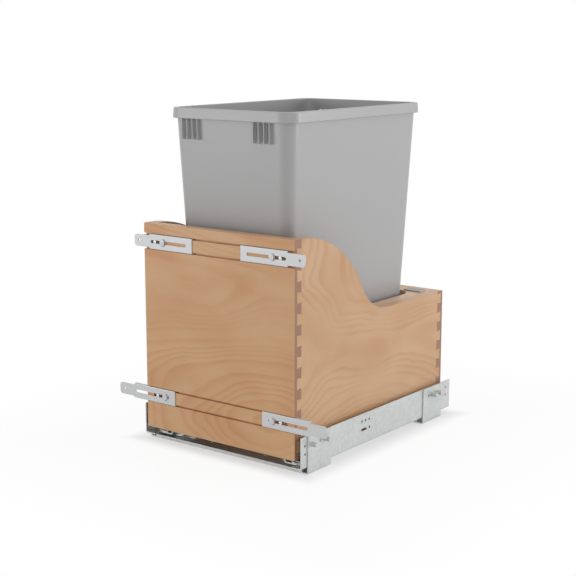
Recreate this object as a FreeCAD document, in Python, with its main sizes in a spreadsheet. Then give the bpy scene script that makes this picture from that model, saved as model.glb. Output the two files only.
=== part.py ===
"""A pull-out waste bin unit for a kitchen base cabinet, as a parametric document.

A dovetailed wooden box carries a tall plastic bin. It runs on telescopic ball slides that lie
under its sides, on the flanges of two steel channels, which stand on two floor brackets. Four
adjustable plates on the front panel hold the cabinet's door, so that door and box travel together.

Millimetres. Sketches are drawn in the box's own frame: x from the centre line, y backwards from the
outer face of the front panel, z up from the lower edge of the box. Each sub-part's Placement then
moves it so that the origin is on the floor, in the middle of the whole unit.
"""
import FreeCAD, Part
import Sketcher
import math
import operator
import os
from types import SimpleNamespace

# ----------------------------------------------------------------------------- driving dimensions
SIZES = [
    # the wooden box
    ("box_width", 300, "outside width of the box"),
    ("box_depth", 420, "outside depth of the box"),
    ("front_height", 335, "height of the front panel"),
    ("low_height", 195.5, "height of the box behind the curve"),
    ("board", 16, "thickness of the box's boards"),
    ("curve_end", 248, "where the side's curve meets its low edge"),
    ("crest_radius", 180, "radius of the convex part of the side's curve"),
    ("front_lap", 5.7, "wood left in front of the front dovetails"),
    ("rear_lap", 5, "wood left behind the rear dovetails"),
    ("tail_pitch", 32.6, "distance from tail to tail"),
    ("first_tail", 20.2, "height of the lowest tail's middle"),
    ("tail_end", 17.8, "width of a tail at its end"),
    ("tail_root", 15, "width of a tail at its root"),
    ("front_tails", 10, "tails in a front corner"),
    ("rear_tails", 6, "tails in a rear corner"),
    ("bottom_low", 14, "height of the bottom panel's underside"),
    ("panel", 12, "thickness of the bottom and deck panels"),
    ("dado_deep", 6, "depth of the grooves for the bottom panel"),
    ("opening_half", 115, "half width of the deck's opening"),
    ("opening_front", 38, "front edge of the deck's opening"),
    ("opening_rear", 381, "rear edge of the deck's opening"),
    ("opening_radius", 32, "corner radius of the deck's opening"),
    ("cleat_square", 16, "section of the cleats under the deck"),
    ("cleat_front", 30, "front end of the cleats"),
    ("cleat_rear", 390, "rear end of the cleats"),
    ("plate_long", 36, "length of the blank plate on the deck"),
    ("plate_wide", 16, "width of the blank plate"),
    ("plate_high", 2, "thickness of the blank plate"),
    ("plate_across", 113, "middle of the blank plate, sideways"),
    ("plate_back", 388.5, "middle of the blank plate, backwards"),
    ("plate_radius", 3, "corner radius of the blank plate"),
    # the door brackets, their grooves and their clamps
    ("upper_level", 306.2, "height of the upper brackets' middle"),
    ("lower_level", 55.5, "height of the lower brackets' middle"),
    ("groove_spread", 22.6, "distance between the two grooves of a pair"),
    ("groove_wide", 3, "width of a bracket groove"),
    ("groove_deep", 5.2, "depth of a bracket groove"),
    ("sheet", 1.5, "sheet thickness of the door brackets"),
    ("sheet_gap", 0.1, "running clearance of the door brackets"),
    ("sheet_bend", 1.2, "outer radius of the door brackets' bends"),
    ("bracket_long", 89, "length of a bracket's flanged body"),
    ("tab_long", 32, "length of a bracket's tab"),
    ("tab_tall", 19, "height of a bracket's tab"),
    ("tab_radius", 5, "corner radius of a bracket's tab"),
    ("bracket_slot_start", 12, "from the bracket's inner end to its slot"),
    ("bracket_slot_long", 74, "length of the bracket's slot"),
    ("bracket_slot_tall", 5, "height of the bracket's slot"),
    ("door_hole", 4.5, "hole for the door's screw"),
    ("door_hole_inset", 10, "from the tab's end to that hole"),
    ("flange_reach", 4.6, "reach of the bracket's flanges into the grooves"),
    ("upper_inner", 48.7, "inner end of the upper brackets"),
    ("lower_inner", 89, "inner end of the lower brackets"),
    ("clamp_across", 125, "clamp screws, sideways"),
    ("clamp_head", 8.5, "head of a clamp screw"),
    ("clamp_head_tall", 2.2, "height of that head"),
    ("clamp_shank", 4, "shank of a clamp screw, over its corners"),
    ("clamp_deep", 12, "depth of the clamp screw in the panel"),
    ("disc_across", 109, "clamp discs, sideways"),
    ("disc_wide", 12, "diameter of a clamp disc"),
    ("disc_thick", 1.2, "thickness of a clamp disc"),
    ("disc_neck", 3.6, "width of the square neck behind a disc"),
    ("disc_deep", 9, "depth of the disc's neck in the panel"),
    ("recess_across", 124, "middle of the recess behind the slot"),
    ("recess_long", 24, "length of that recess"),
    ("recess_tall", 6, "height of that recess"),
    ("recess_deep", 4, "depth of that recess"),
    # the side channels and the floor brackets
    ("web_inner", 157.5, "inner face of a channel's web, from the centre line"),
    ("steel", 2, "sheet thickness of channels and floor brackets"),
    ("web_top", 36.5, "top edge of the webs"),
    ("tray_drop", 14, "underside of a channel's flange, below the box"),
    ("lip_inner", 115, "inner face of a channel's lip"),
    ("lip_drop", 8.8, "top of the lip, below the box"),
    ("channel_front", 4, "front end of the channels"),
    ("channel_rear", 435, "rear end of the channels"),
    ("notch_across", 139, "where the flange's front corner is cut away"),
    ("notch_back", 20, "how far back it is cut"),
    ("bend", 3, "outer radius of a bend"),
    ("small_hole", 4, "small holes in the steel"),
    ("front_holes_back", 13.4, "pair of holes at the web's front end"),
    ("front_holes_low", 9.2, "height of the lower of that pair"),
    ("front_holes_high", 22.2, "height of the upper of that pair"),
    ("row_start", 164.8, "first of a row of three holes in the web"),
    ("row_pitch", 10, "distance from hole to hole in that row"),
    ("row_level", 24.2, "height of that row"),
    ("web_slot_back", 170.4, "middle of the slot in the web"),
    ("web_slot_level", 10.1, "height of that slot"),
    ("web_slot_long", 15, "length of that slot"),
    ("single_back", 185.4, "hole behind that slot"),
    ("single_level", 10.6, "height of that hole"),
    ("rear_holes_back", 420.7, "pair of holes at the web's rear end"),
    ("rear_holes_low", 11.6, "height of the lower of that pair"),
    ("rear_holes_high", 24.8, "height of the upper of that pair"),
    ("floor_drop", 23.8, "floor, below the box"),
    ("front_bracket_start", 18.5, "front edge of the front floor bracket"),
    ("front_bracket_end", 77, "its rear edge"),
    ("rear_bracket_start", 346.5, "front edge of the rear floor bracket"),
    ("rear_bracket_end", 404, "its rear edge"),
    ("hem_tall", 5.5, "height of the floor brackets' upturned edge"),
    ("hem_half", 150, "half length of that edge"),
    ("floor_slot_across", 97, "floor screw slots, sideways"),
    ("floor_slot_long", 16, "length of a floor screw slot"),
    ("floor_slot_wide", 5.5, "width of a floor screw slot"),
    ("relief_hole", 12, "lightening holes in the front floor plate"),
    ("relief_across", 123, "lightening holes, sideways"),
    ("pilot_across", 55, "small holes in the front floor plate, sideways"),
    ("stud_level", 22.5, "height of the studs"),
    ("stud", 8, "diameter of a stud"),
    ("stud_reach", 9, "how far a stud stands out"),
    ("front_stud_first", 28.6, "first stud of the front floor bracket"),
    ("front_stud_second", 63.3, "second stud of the front floor bracket"),
    ("front_upright_hole", 49.2, "hole in the front bracket's upright"),
    ("rear_stud_first", 376, "first stud of the rear floor bracket"),
    ("rear_stud_second", 392, "second stud of the rear floor bracket"),
    ("rear_upright_hole", 362.8, "hole in the rear bracket's upright"),
    # the telescopic slides: heights from the channel's tray, half widths from the slides' middle
    ("slide_across", 142, "middle of the slides, sideways"),
    ("slide_front", 22, "front end of the slides"),
    ("slide_steel", 1.2, "sheet thickness of the slide members"),
    ("outer_long", 405, "length of the outer member"),
    ("outer_half", 14.5, "half width of the outer member"),
    ("outer_reach", 9.3, "height of the outer member"),
    ("outer_hook", 2.4, "turned-in edge of the outer member"),
    ("middle_long", 385, "length of the middle and inner members"),
    ("middle_rise", 3.2, "underside of the middle member"),
    ("middle_half", 9.5, "half width of the middle member"),
    ("middle_reach", 7.1, "height of the middle member"),
    ("middle_hook", 2.3, "turned-in edge of the middle member"),
    ("inner_half", 4.5, "half width of the inner member"),
    ("inner_reach", 5.8, "height of the inner member"),
    ("ball", 3.4, "width of a ball over its flats"),
    ("ball_window", 4, "width of a ball's window in its cage"),
    ("ball_start", 10, "first ball, from the cage's end"),
    ("ball_pitch", 50, "distance from ball to ball"),
    ("cage_start", 132, "front end of the cages"),
    ("cage_long", 120, "length of the cages"),
    ("outer_cage_rise", 1.9, "underside of the outer cage"),
    ("outer_cage_half", 11.8, "half width of the outer cage"),
    ("outer_cage_reach", 6.2, "height of the outer cage"),
    ("outer_cage_steel", 0.8, "thickness of the outer cage"),
    ("outer_ball_rise", 5.9, "height of the outer balls' middles"),
    ("outer_ball_half", 11.4, "outer balls, to each side of the middle"),
    ("inner_cage_rise", 4.9, "underside of the inner cage"),
    ("inner_cage_half", 6.75, "half width of the inner cage"),
    ("inner_cage_reach", 4.2, "height of the inner cage"),
    ("inner_cage_steel", 0.7, "thickness of the inner cage"),
    ("inner_ball_rise", 7.35, "height of the inner balls' middles"),
    ("inner_ball_half", 6.4, "inner balls, to each side of the middle"),
    ("screw_head", 6, "six-sided head of a runner screw, over its corners"),
    ("screw_head_tall", 1.5, "height of that head"),
    ("screw_shank", 3.5, "shank of a runner screw, over its corners"),
    ("screw_deep", 9, "depth of a runner screw in the board"),
    ("screw_first", 36, "first runner screw, from the front"),
    ("screw_pitch", 330, "distance from runner screw to runner screw"),
    # the soft-close units in the channels' trays
    ("damper_inner", 118.2, "inner face of a soft-close housing"),
    ("damper_outer", 127.2, "outer face of a soft-close housing"),
    ("damper_front", 30, "front end of the housing"),
    ("damper_long", 176, "length of the housing"),
    ("damper_top", 2.2, "top of the housing, below the box"),
    ("track_across", 122.7, "middle of the housing's track"),
    ("track_wide", 4.4, "width of the track"),
    ("track_deep", 5, "depth of the track"),
    ("track_long", 86, "length of the track"),
    ("catch_start", 59.2, "front face of the catch"),
    ("catch_long", 16, "length of the catch"),
    ("catch_wide", 4, "width of the catch"),
    ("catch_tall", 5.6, "height of the catch"),
    ("pin_back", 57, "trigger pin, from the front"),
    ("pin_wide", 3.6, "width of the square trigger pin"),
    ("pin_drop", 6, "how far the trigger pin hangs down"),
    ("pin_deep", 10, "depth of the trigger pin in the bottom panel"),
    # the bin
    ("rim_half", 122.6, "half width over the bin's rim"),
    ("rim_front", 25.8, "front of the rim"),
    ("rim_rear", 393.5, "rear of the rim"),
    ("rim_radius", 26, "corner radius of the rim"),
    ("rim_top", 516.3, "top of the rim"),
    ("rim_tall", 16.3, "height of the rim's skirt"),
    ("rim_overhang", 6, "from the rim's face to the bin's wall"),
    ("rim_chamfer", 1.2, "bevel along the rim's top edge"),
    ("bin_floor", 26.3, "underside of the bin"),
    ("bin_wall", 2.5, "thickness of the bin's wall"),
    ("bin_draft", 22, "how much each wall leans in, top to bottom"),
    ("fin_across", 70.5, "middle of a group of fins, sideways"),
    ("fin_pitch", 10.4, "distance from fin to fin"),
    ("fin_count", 4, "fins in a group"),
    ("fin_thick", 1.6, "thickness of a fin"),
    ("fin_low", 468, "lower end of the fins"),
    ("fin_inset", 1, "fins' edge, behind the rim's face"),
    ("fin_lean", 0.6, "how much further in that edge is at its lower end"),
]
RUNNER_SCREWS = 2
ROW_HOLES = 3
BALLS_IN_ROW = 3
SIDES = (1, -1)

doc = FreeCAD.newDocument("PullOutBin")
sheet = doc.addObject("Spreadsheet::Sheet", "Sizes")
for row, (alias, value, meaning) in enumerate(SIZES, start=1):
    sheet.set(f"A{row}", meaning)
    sheet.set(f"B{row}", str(value))
    sheet.setAlias(f"B{row}", alias)
doc.recompute()


class Size:
    """A length that knows both its number and the sheet formula that it comes from."""

    def __init__(self, number, text):
        self.number = number
        self.text = text

    def __add__(self, other):
        return joined(self, "+", other)

    def __radd__(self, other):
        return joined(other, "+", self)

    def __sub__(self, other):
        return joined(self, "-", other)

    def __rsub__(self, other):
        return joined(other, "-", self)

    def __mul__(self, other):
        return joined(self, "*", other)

    def __rmul__(self, other):
        return joined(other, "*", self)

    def __truediv__(self, other):
        return joined(self, "/", other)

    def __neg__(self):
        return joined(0, "-", self)


ARITHMETIC = {"+": operator.add, "-": operator.sub, "*": operator.mul, "/": operator.truediv}


def as_size(value):
    """A plain number as a Size; a Size stays as it is."""
    return value if isinstance(value, Size) else Size(float(value), str(value))


def joined(left, sign, right):
    """Two lengths joined by one sign of arithmetic."""
    left, right = as_size(left), as_size(right)
    return Size(ARITHMETIC[sign](left.number, right.number), f"({left.text} {sign} {right.text})")


size = SimpleNamespace(**{alias: Size(float(value), f"Sizes.{alias}") for alias, value, _ in SIZES})

# Sizes that follow from the driving ones.
half_width = size.box_width / 2
inner_half_width = half_width - size.board
sheet_front = -size.sheet_gap - size.sheet
head_back = sheet_front - size.sheet_gap
web_outer = size.web_inner + size.steel
upright_outer = web_outer + size.steel
tray = size.steel - size.tray_drop
unit_front = head_back - size.clamp_head_tall
unit_middle = (size.channel_rear + unit_front) / 2
bin_height = size.rim_top - size.bin_floor
bin_draft_angle = math.degrees(math.atan(size.bin_draft.number / bin_height.number))
octagon_side = math.tan(math.pi / 8)

subparts = {}


# ------------------------------------------------------------------------------ modelling helpers
def bind(thing, name, value):
    """Tie a property or a constraint to its formula in the sheet."""
    thing.setExpression(name, as_size(value).text)


def settle(thing, name):
    """Name a sub-part and bring it from the box's frame to the unit's own."""
    thing.Label = name
    bind(thing, "Placement.Base.y", -unit_middle)
    bind(thing, "Placement.Base.z", size.floor_drop)
    subparts[name] = thing
    return thing


def new_body(name):
    """An empty body for the sub-part of that name."""
    return settle(doc.addObject("PartDesign::Body", name), name)


def mirror_left(source):
    """The left-hand twin of a right-hand sub-part."""
    name = source.Label.replace("right", "left")
    twin = doc.addObject("Part::Mirroring", name)
    twin.Source = source
    twin.Normal = FreeCAD.Vector(1, 0, 0)
    twin.Label = name
    subparts[name] = twin
    return twin


def origin_feature(body, role):
    """One of the body's own axes or planes."""
    return next(feature for feature in body.Origin.OriginFeatures if feature.Role == role)


NORMALS = {"XY_Plane": 1, "YZ_Plane": 1, "XZ_Plane": -1}


def new_sketch(body, plane, at=0):
    """A sketch on a plane parallel to one of the origin planes, at that coordinate."""
    sketch = body.newObject("Sketcher::SketchObject", "Sketch")
    sketch.AttachmentSupport = [(origin_feature(body, plane), "")]
    sketch.MapMode = "FlatFace"
    bind(sketch, "AttachmentOffset.Base.z", as_size(at) * NORMALS[plane])
    return sketch


def hold(sketch, kind, value, *where):
    """Add one dimension to a sketch and tie it to the sheet."""
    value = as_size(value)
    index = sketch.addConstraint(Sketcher.Constraint(kind, *where, value.number))
    label = f"size_{index}"
    sketch.renameConstraint(index, label)
    bind(sketch, f"Constraints.{label}", value)


def hold_point(sketch, geometry, end, across, up):
    """Hold one point of a sketch at its distances from the sketch's origin."""
    hold(sketch, "DistanceX", across, -1, 1, geometry, end)
    hold(sketch, "DistanceY", up, -1, 1, geometry, end)


def draw_outline(sketch, corners):
    """A closed outline of straight lines through the corners."""
    points = [FreeCAD.Vector(as_size(across).number, as_size(up).number, 0) for across, up in corners]
    first = sketch.GeometryCount
    count = len(points)
    for index in range(count):
        sketch.addGeometry(Part.LineSegment(points[index], points[(index + 1) % count]))
    for index, (across, up) in enumerate(corners):
        following = first + (index + 1) % count
        sketch.addConstraint(Sketcher.Constraint("Coincident", first + index, 2, following, 1))
        hold_point(sketch, first + index, 1, across, up)
    return sketch


def draw_rectangle(sketch, left, right, low, high):
    """A rectangle, given by its four sides."""
    return draw_outline(sketch, [(left, low), (right, low), (right, high), (left, high)])


def draw_square(sketch, across, up, width):
    """A square, given by its middle and its width."""
    return draw_rectangle(sketch, across - width / 2, across + width / 2, up - width / 2, up + width / 2)


def draw_hexagon(sketch, across, up, diameter):
    """A regular hexagon, given by its middle and its width over the corners."""
    radius = diameter / 2
    return draw_outline(sketch, [(across + radius * math.cos(math.radians(angle)),
                                  up + radius * math.sin(math.radians(angle)))
                                 for angle in range(0, 360, 60)])


def draw_circle(sketch, across, up, diameter):
    """A circle, given by its centre and diameter."""
    across, up, diameter = as_size(across), as_size(up), as_size(diameter)
    centre = FreeCAD.Vector(across.number, up.number, 0)
    circle = sketch.addGeometry(Part.Circle(centre, FreeCAD.Vector(0, 0, 1), diameter.number / 2))
    hold_point(sketch, circle, 3, across, up)
    hold(sketch, "Diameter", diameter, circle)
    return sketch


def draw_arc(sketch, across, up, radius, start, end):
    """An arc between two angles in degrees, still free to move."""
    centre = FreeCAD.Vector(across.number, up.number, 0)
    circle = Part.Circle(centre, FreeCAD.Vector(0, 0, 1), radius.number)
    return sketch.addGeometry(Part.ArcOfCircle(circle, math.radians(start), math.radians(end)))


def draw_slot(sketch, across, up, length, width):
    """A level slot with round ends, given by its middle, its length and its width."""
    width = as_size(width)
    reach = (length - width) / 2
    radius = width / 2
    up = as_size(up)
    right = draw_arc(sketch, across + reach, up, radius, -90, 90)
    left = draw_arc(sketch, across - reach, up, radius, 90, 270)
    ends = [FreeCAD.Vector((across + reach * turn).number, (up + radius * rise).number, 0)
            for turn, rise in ((1, 1), (-1, 1), (-1, -1), (1, -1))]
    top = sketch.addGeometry(Part.LineSegment(ends[0], ends[1]))
    low = sketch.addGeometry(Part.LineSegment(ends[2], ends[3]))
    for before, after in ((right, top), (top, left), (left, low), (low, right)):
        sketch.addConstraint(Sketcher.Constraint("Tangent", before, 2, after, 1))
    sketch.addConstraint(Sketcher.Constraint("Equal", right, left))
    hold(sketch, "Radius", radius, right)
    hold_point(sketch, right, 3, across + reach, up)
    hold_point(sketch, left, 3, across - reach, up)
    return sketch


def draw_rounded(sketch, left, right, low, high, radius):
    """A rectangle with four round corners."""
    left, right, low, high, radius = (as_size(value) for value in (left, right, low, high, radius))
    centres = [(right - radius, low + radius), (right - radius, high - radius),
               (left + radius, high - radius), (left + radius, low + radius)]
    arcs = [draw_arc(sketch, across, up, radius, 90 * index - 90, 90 * index)
            for index, (across, up) in enumerate(centres)]
    lines = []
    for index, arc in enumerate(arcs):
        start = sketch.Geometry[arc].EndPoint
        end = sketch.Geometry[arcs[(index + 1) % 4]].StartPoint
        lines.append(sketch.addGeometry(Part.LineSegment(start, end)))
    for index, line in enumerate(lines):
        sketch.addConstraint(Sketcher.Constraint("Tangent", arcs[index], 2, line, 1))
        sketch.addConstraint(Sketcher.Constraint("Tangent", line, 2, arcs[(index + 1) % 4], 1))
        sketch.addConstraint(Sketcher.Constraint("Horizontal" if index % 2 else "Vertical", line))
    for arc in arcs[1:]:
        sketch.addConstraint(Sketcher.Constraint("Equal", arcs[0], arc))
    hold(sketch, "Radius", radius, arcs[0])
    hold(sketch, "DistanceX", right, -1, 1, lines[0], 1)
    hold(sketch, "DistanceY", high, -1, 1, lines[1], 1)
    hold(sketch, "DistanceX", left, -1, 1, lines[2], 1)
    hold(sketch, "DistanceY", low, -1, 1, lines[3], 1)
    return sketch


def sketch_normal(sketch):
    """The sign of the world axis that the sketch's normal follows."""
    return NORMALS[sketch.AttachmentSupport[0][0].Role]


def add_pad(body, sketch, length, towards=1, taper=0):
    """Extrude a sketch along the world axis, forwards (1) or backwards (-1), drawn in by a taper."""
    pad = body.newObject("PartDesign::Pad", "Pad")
    pad.Profile = sketch
    bind(pad, "Length", length)
    pad.TaperAngle = -taper
    pad.Reversed = towards != sketch_normal(sketch)
    return pad


def add_pocket(body, sketch, length, towards=1):
    """Cut a sketch's outline along the world axis, forwards (1) or backwards (-1)."""
    pocket = body.newObject("PartDesign::Pocket", "Pocket")
    pocket.Profile = sketch
    bind(pocket, "Length", length)
    pocket.Reversed = towards == sketch_normal(sketch)
    return pocket


def add_row(body, features, axis, count, pitch):
    """Repeat features along one of the body's axes."""
    row = body.newObject("PartDesign::LinearPattern", "Row")
    row.Originals = features
    row.Direction = (origin_feature(body, axis), [""])
    bind(row, "Length", pitch * (count - 1))
    bind(row, "Occurrences", count)
    body.Tip = row
    return row


def edges_near(feature, axis, places):
    """Names of the straight edges along an axis that lie at the given places across it."""
    doc.recompute()
    others = [index for index in range(3) if index != axis]
    names = []
    for number, edge in enumerate(feature.Shape.Edges, start=1):
        start, end = edge.Vertexes[0].Point, edge.Vertexes[-1].Point
        if any(abs(start[index] - end[index]) > 1e-4 for index in others):
            continue
        for place in places:
            if all(abs(start[index] - as_size(wanted).number) < 0.01
                   for index, wanted in zip(others, place)):
                names.append(f"Edge{number}")
    return names


def faces_towards(feature, rise):
    """Names of the flat faces whose normal has that vertical part: 1 up, 0 level, -1 down."""
    doc.recompute()
    return [f"Face{number}" for number, face in enumerate(feature.Shape.Faces, start=1)
            if abs(face.normalAt(0, 0).z - rise) < 1e-6]


def add_fillet(body, feature, edges, radius):
    """Round the named edges of a feature."""
    fillet = body.newObject("PartDesign::Fillet", "Round")
    fillet.Base = (feature, edges)
    bind(fillet, "Radius", radius)
    return fillet


# ---------------------------------------------------------------------------------- the wooden box
def tail_outline(sketch, root, end):
    """The lowest tail, from its root at the shoulder to its end in the socket."""
    middle = size.first_tail
    return draw_outline(sketch, [(root, middle - size.tail_root / 2), (end, middle - size.tail_end / 2),
                                 (end, middle + size.tail_end / 2), (root, middle + size.tail_root / 2)])


def make_side_board():
    """The right-hand side: high at the front, then down a double curve to its low rear part."""
    body = new_body("right_side_board")
    shoulder_front, shoulder_rear = size.board, size.box_depth - size.board
    sketch = new_sketch(body, "YZ_Plane", inner_half_width)
    drop = size.front_height.number - size.low_height.number
    run = size.curve_end.number - shoulder_front.number
    swing = math.degrees(2 * math.atan(drop / run))
    both_radii = (drop ** 2 + run ** 2) / (2 * drop)
    valley_radius = as_size(both_radii) - size.crest_radius
    crest = draw_arc(sketch, shoulder_front, size.front_height - size.crest_radius,
                     size.crest_radius, 90 - swing, 90)
    valley = draw_arc(sketch, size.curve_end, size.low_height + valley_radius, valley_radius,
                      270 - swing, 270)
    corners = [(shoulder_front, size.front_height), (shoulder_front, as_size(0)),
               (shoulder_rear, as_size(0)), (shoulder_rear, size.low_height),
               (size.curve_end, size.low_height)]
    points = [FreeCAD.Vector(across.number, up.number, 0) for across, up in corners]
    lines = [sketch.addGeometry(Part.LineSegment(start, end)) for start, end in zip(points, points[1:])]
    front, low, rear, flat = lines
    for before, after in ((front, low), (low, rear), (rear, flat)):
        sketch.addConstraint(Sketcher.Constraint("Coincident", before, 2, after, 1))
    sketch.addConstraint(Sketcher.Constraint("Coincident", crest, 2, front, 1))
    sketch.addConstraint(Sketcher.Constraint("Tangent", crest, 1, valley, 1))
    sketch.addConstraint(Sketcher.Constraint("Tangent", flat, 2, valley, 2))
    for line, (across, up) in zip(lines, corners):
        hold_point(sketch, line, 1, across, up)
    hold(sketch, "DistanceX", size.curve_end, -1, 1, flat, 2)
    hold(sketch, "DistanceX", shoulder_front, -1, 1, crest, 3)
    hold(sketch, "Radius", size.crest_radius, crest)
    sketch.addConstraint(Sketcher.Constraint("Horizontal", flat))
    add_pad(body, sketch, size.board)

    front_tail = add_pad(body, tail_outline(new_sketch(body, "YZ_Plane", inner_half_width),
                                            shoulder_front, size.front_lap), size.board)
    add_row(body, [front_tail], "Z_Axis", size.front_tails, size.tail_pitch)
    rear_tail = add_pad(body, tail_outline(new_sketch(body, "YZ_Plane", inner_half_width),
                                           shoulder_rear, size.box_depth - size.rear_lap), size.board)
    add_row(body, [rear_tail], "Z_Axis", size.rear_tails, size.tail_pitch)

    groove = draw_rectangle(new_sketch(body, "YZ_Plane", inner_half_width), 0, size.box_depth,
                            size.bottom_low, size.bottom_low + size.panel)
    add_pocket(body, groove, size.dado_deep)
    add_pocket(body, draw_screw_places(new_sketch(body, "XY_Plane"), size.screw_shank), size.screw_deep)
    return body


def cut_sockets(body, root, end, count):
    """Cut the sockets for both side boards' tails into a front or back panel."""
    for side in SIDES:
        sketch = tail_outline(new_sketch(body, "YZ_Plane", half_width * side), root, end)
        socket = add_pocket(body, sketch, size.board, -side)
        add_row(body, [socket], "Z_Axis", count, size.tail_pitch)


def make_front_panel():
    """The front panel: sockets at both ends, four grooves for the door brackets, clamp holes."""
    body = new_body("front_panel")
    add_pad(body, draw_rectangle(new_sketch(body, "XZ_Plane"), -half_width, half_width,
                                 0, size.front_height), size.board)
    cut_sockets(body, size.board, size.front_lap, size.front_tails)
    grooves = new_sketch(body, "YZ_Plane", -half_width)
    for level in (size.upper_level, size.lower_level):
        for side in SIDES:
            middle = level + size.groove_spread / 2 * side
            draw_rectangle(grooves, 0, size.groove_deep,
                           middle - size.groove_wide / 2, middle + size.groove_wide / 2)
    add_pocket(body, grooves, size.box_width)
    dado = draw_rectangle(new_sketch(body, "YZ_Plane", -inner_half_width), size.board - size.dado_deep,
                          size.board, size.bottom_low, size.bottom_low + size.panel)
    add_pocket(body, dado, inner_half_width * 2)
    recesses, screw_holes, neck_holes = (new_sketch(body, "XZ_Plane") for _ in range(3))
    for side in SIDES:
        middle = size.recess_across * side
        for level in (size.upper_level, size.lower_level):
            draw_rectangle(recesses, middle - size.recess_long / 2, middle + size.recess_long / 2,
                           level - size.recess_tall / 2, level + size.recess_tall / 2)
            draw_hexagon(screw_holes, size.clamp_across * side, level, size.clamp_shank)
            draw_square(neck_holes, size.disc_across * side, level, size.disc_neck)
    add_pocket(body, recesses, size.recess_deep)
    add_pocket(body, screw_holes, size.clamp_deep)
    add_pocket(body, neck_holes, size.disc_deep)
    return body


def make_back_panel():
    """The low back panel, with sockets for the side boards and the bottom's groove."""
    body = new_body("back_panel")
    front_face = size.box_depth - size.board
    add_pad(body, draw_rectangle(new_sketch(body, "XZ_Plane", front_face), -half_width, half_width,
                                 0, size.low_height), size.board)
    cut_sockets(body, front_face, size.box_depth - size.rear_lap, size.rear_tails)
    dado = draw_rectangle(new_sketch(body, "YZ_Plane", -inner_half_width), front_face,
                          front_face + size.dado_deep, size.bottom_low, size.bottom_low + size.panel)
    add_pocket(body, dado, inner_half_width * 2)
    return body


def make_bottom_panel():
    """The bottom, let into grooves in all four boards, with holes for the trigger pins."""
    body = new_body("bottom_panel")
    edge = size.board - size.dado_deep
    add_pad(body, draw_rectangle(new_sketch(body, "XY_Plane", size.bottom_low), edge - half_width,
                                 half_width - edge, edge, size.box_depth - edge), size.panel)
    add_pocket(body, draw_pin_places(new_sketch(body, "XY_Plane", size.bottom_low)), size.pin_deep)
    return body


def make_deck_panel():
    """The deck between the low sides, flush with their top edges, with the bin's opening."""
    body = new_body("deck_panel")
    sketch = new_sketch(body, "XY_Plane", size.low_height - size.panel)
    draw_rectangle(sketch, -inner_half_width, inner_half_width, size.board, size.box_depth - size.board)
    draw_rounded(sketch, -size.opening_half, size.opening_half, size.opening_front, size.opening_rear,
                 size.opening_radius)
    add_pad(body, sketch, size.panel)
    return body


def make_deck_cleats():
    """Two square cleats that carry the deck along the side boards."""
    body = new_body("deck_cleats")
    sketch = new_sketch(body, "XY_Plane", size.low_height - size.panel)
    for side in SIDES:
        ends = sorted((inner_half_width * side, (inner_half_width - size.cleat_square) * side),
                      key=lambda end: end.number)
        draw_rectangle(sketch, *ends, size.cleat_front, size.cleat_rear)
    add_pad(body, sketch, size.cleat_square, -1)
    return body


def make_blank_plate():
    """A small bare metal plate on the deck's rear corner."""
    body = new_body("blank_plate")
    sketch = new_sketch(body, "XY_Plane", size.low_height)
    draw_rounded(sketch, size.plate_across - size.plate_long / 2, size.plate_across + size.plate_long / 2,
                 size.plate_back - size.plate_wide / 2, size.plate_back + size.plate_wide / 2,
                 size.plate_radius)
    add_pad(body, sketch, size.plate_high)
    return body


# ------------------------------------------------------------------------------- the door brackets
def make_door_bracket(name, inner, level):
    """A plate that slides sideways, its two flanges in a pair of grooves, its tab out at the side."""
    body = new_body(name)
    half_tall = (size.groove_spread + size.sheet) / 2
    neck = inner + size.bracket_long
    tip = neck + size.tab_long
    half_tab = size.tab_tall / 2
    plate = new_sketch(body, "XZ_Plane", -size.sheet_gap)
    draw_outline(plate, [(inner, level - half_tall), (neck, level - half_tall), (neck, level - half_tab),
                         (tip, level - half_tab), (tip, level + half_tab), (neck, level + half_tab),
                         (neck, level + half_tall), (inner, level + half_tall)])
    add_pad(body, plate, size.sheet, -1)
    flanges = new_sketch(body, "XZ_Plane", -size.sheet_gap)
    for side in SIDES:
        ends = sorted((level + half_tall * side, level + (half_tall - size.sheet) * side),
                      key=lambda end: end.number)
        draw_rectangle(flanges, inner, neck, *ends)
    folded = add_pad(body, flanges, size.flange_reach)
    bends = edges_near(folded, 0, [(sheet_front, level - half_tall), (sheet_front, level + half_tall)])
    add_fillet(body, folded, bends, size.sheet_bend)
    slot = draw_slot(new_sketch(body, "XZ_Plane", sheet_front),
                     inner + size.bracket_slot_start + size.bracket_slot_long / 2, level,
                     size.bracket_slot_long, size.bracket_slot_tall)
    add_pocket(body, slot, size.sheet)
    hole = draw_circle(new_sketch(body, "XZ_Plane", sheet_front), tip - size.door_hole_inset, level,
                       size.door_hole)
    pierced = add_pocket(body, hole, size.sheet)
    corners = edges_near(pierced, 1, [(tip, level - half_tab), (tip, level + half_tab)])
    add_fillet(body, pierced, corners, size.tab_radius)
    return body


def make_clamp_screws():
    """Four pan-head screws that clamp the door brackets through their slots."""
    body = new_body("bracket_clamp_screws")
    heads, shanks = new_sketch(body, "XZ_Plane", head_back), new_sketch(body, "XZ_Plane", head_back)
    for side in SIDES:
        for level in (size.upper_level, size.lower_level):
            draw_circle(heads, size.clamp_across * side, level, size.clamp_head)
            draw_hexagon(shanks, size.clamp_across * side, level, size.clamp_shank)
    add_pad(body, heads, size.clamp_head_tall, -1)
    add_pad(body, shanks, size.clamp_deep - head_back)
    return body


def make_clamp_discs():
    """Four flat discs on square necks, which guide the brackets' slots."""
    body = new_body("bracket_guide_discs")
    discs, necks = new_sketch(body, "XZ_Plane", head_back), new_sketch(body, "XZ_Plane", head_back)
    for side in SIDES:
        for level in (size.upper_level, size.lower_level):
            draw_circle(discs, size.disc_across * side, level, size.disc_wide)
            draw_square(necks, size.disc_across * side, level, size.disc_neck)
    add_pad(body, discs, size.disc_thick, -1)
    add_pad(body, necks, size.disc_deep - head_back)
    return body


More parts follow.
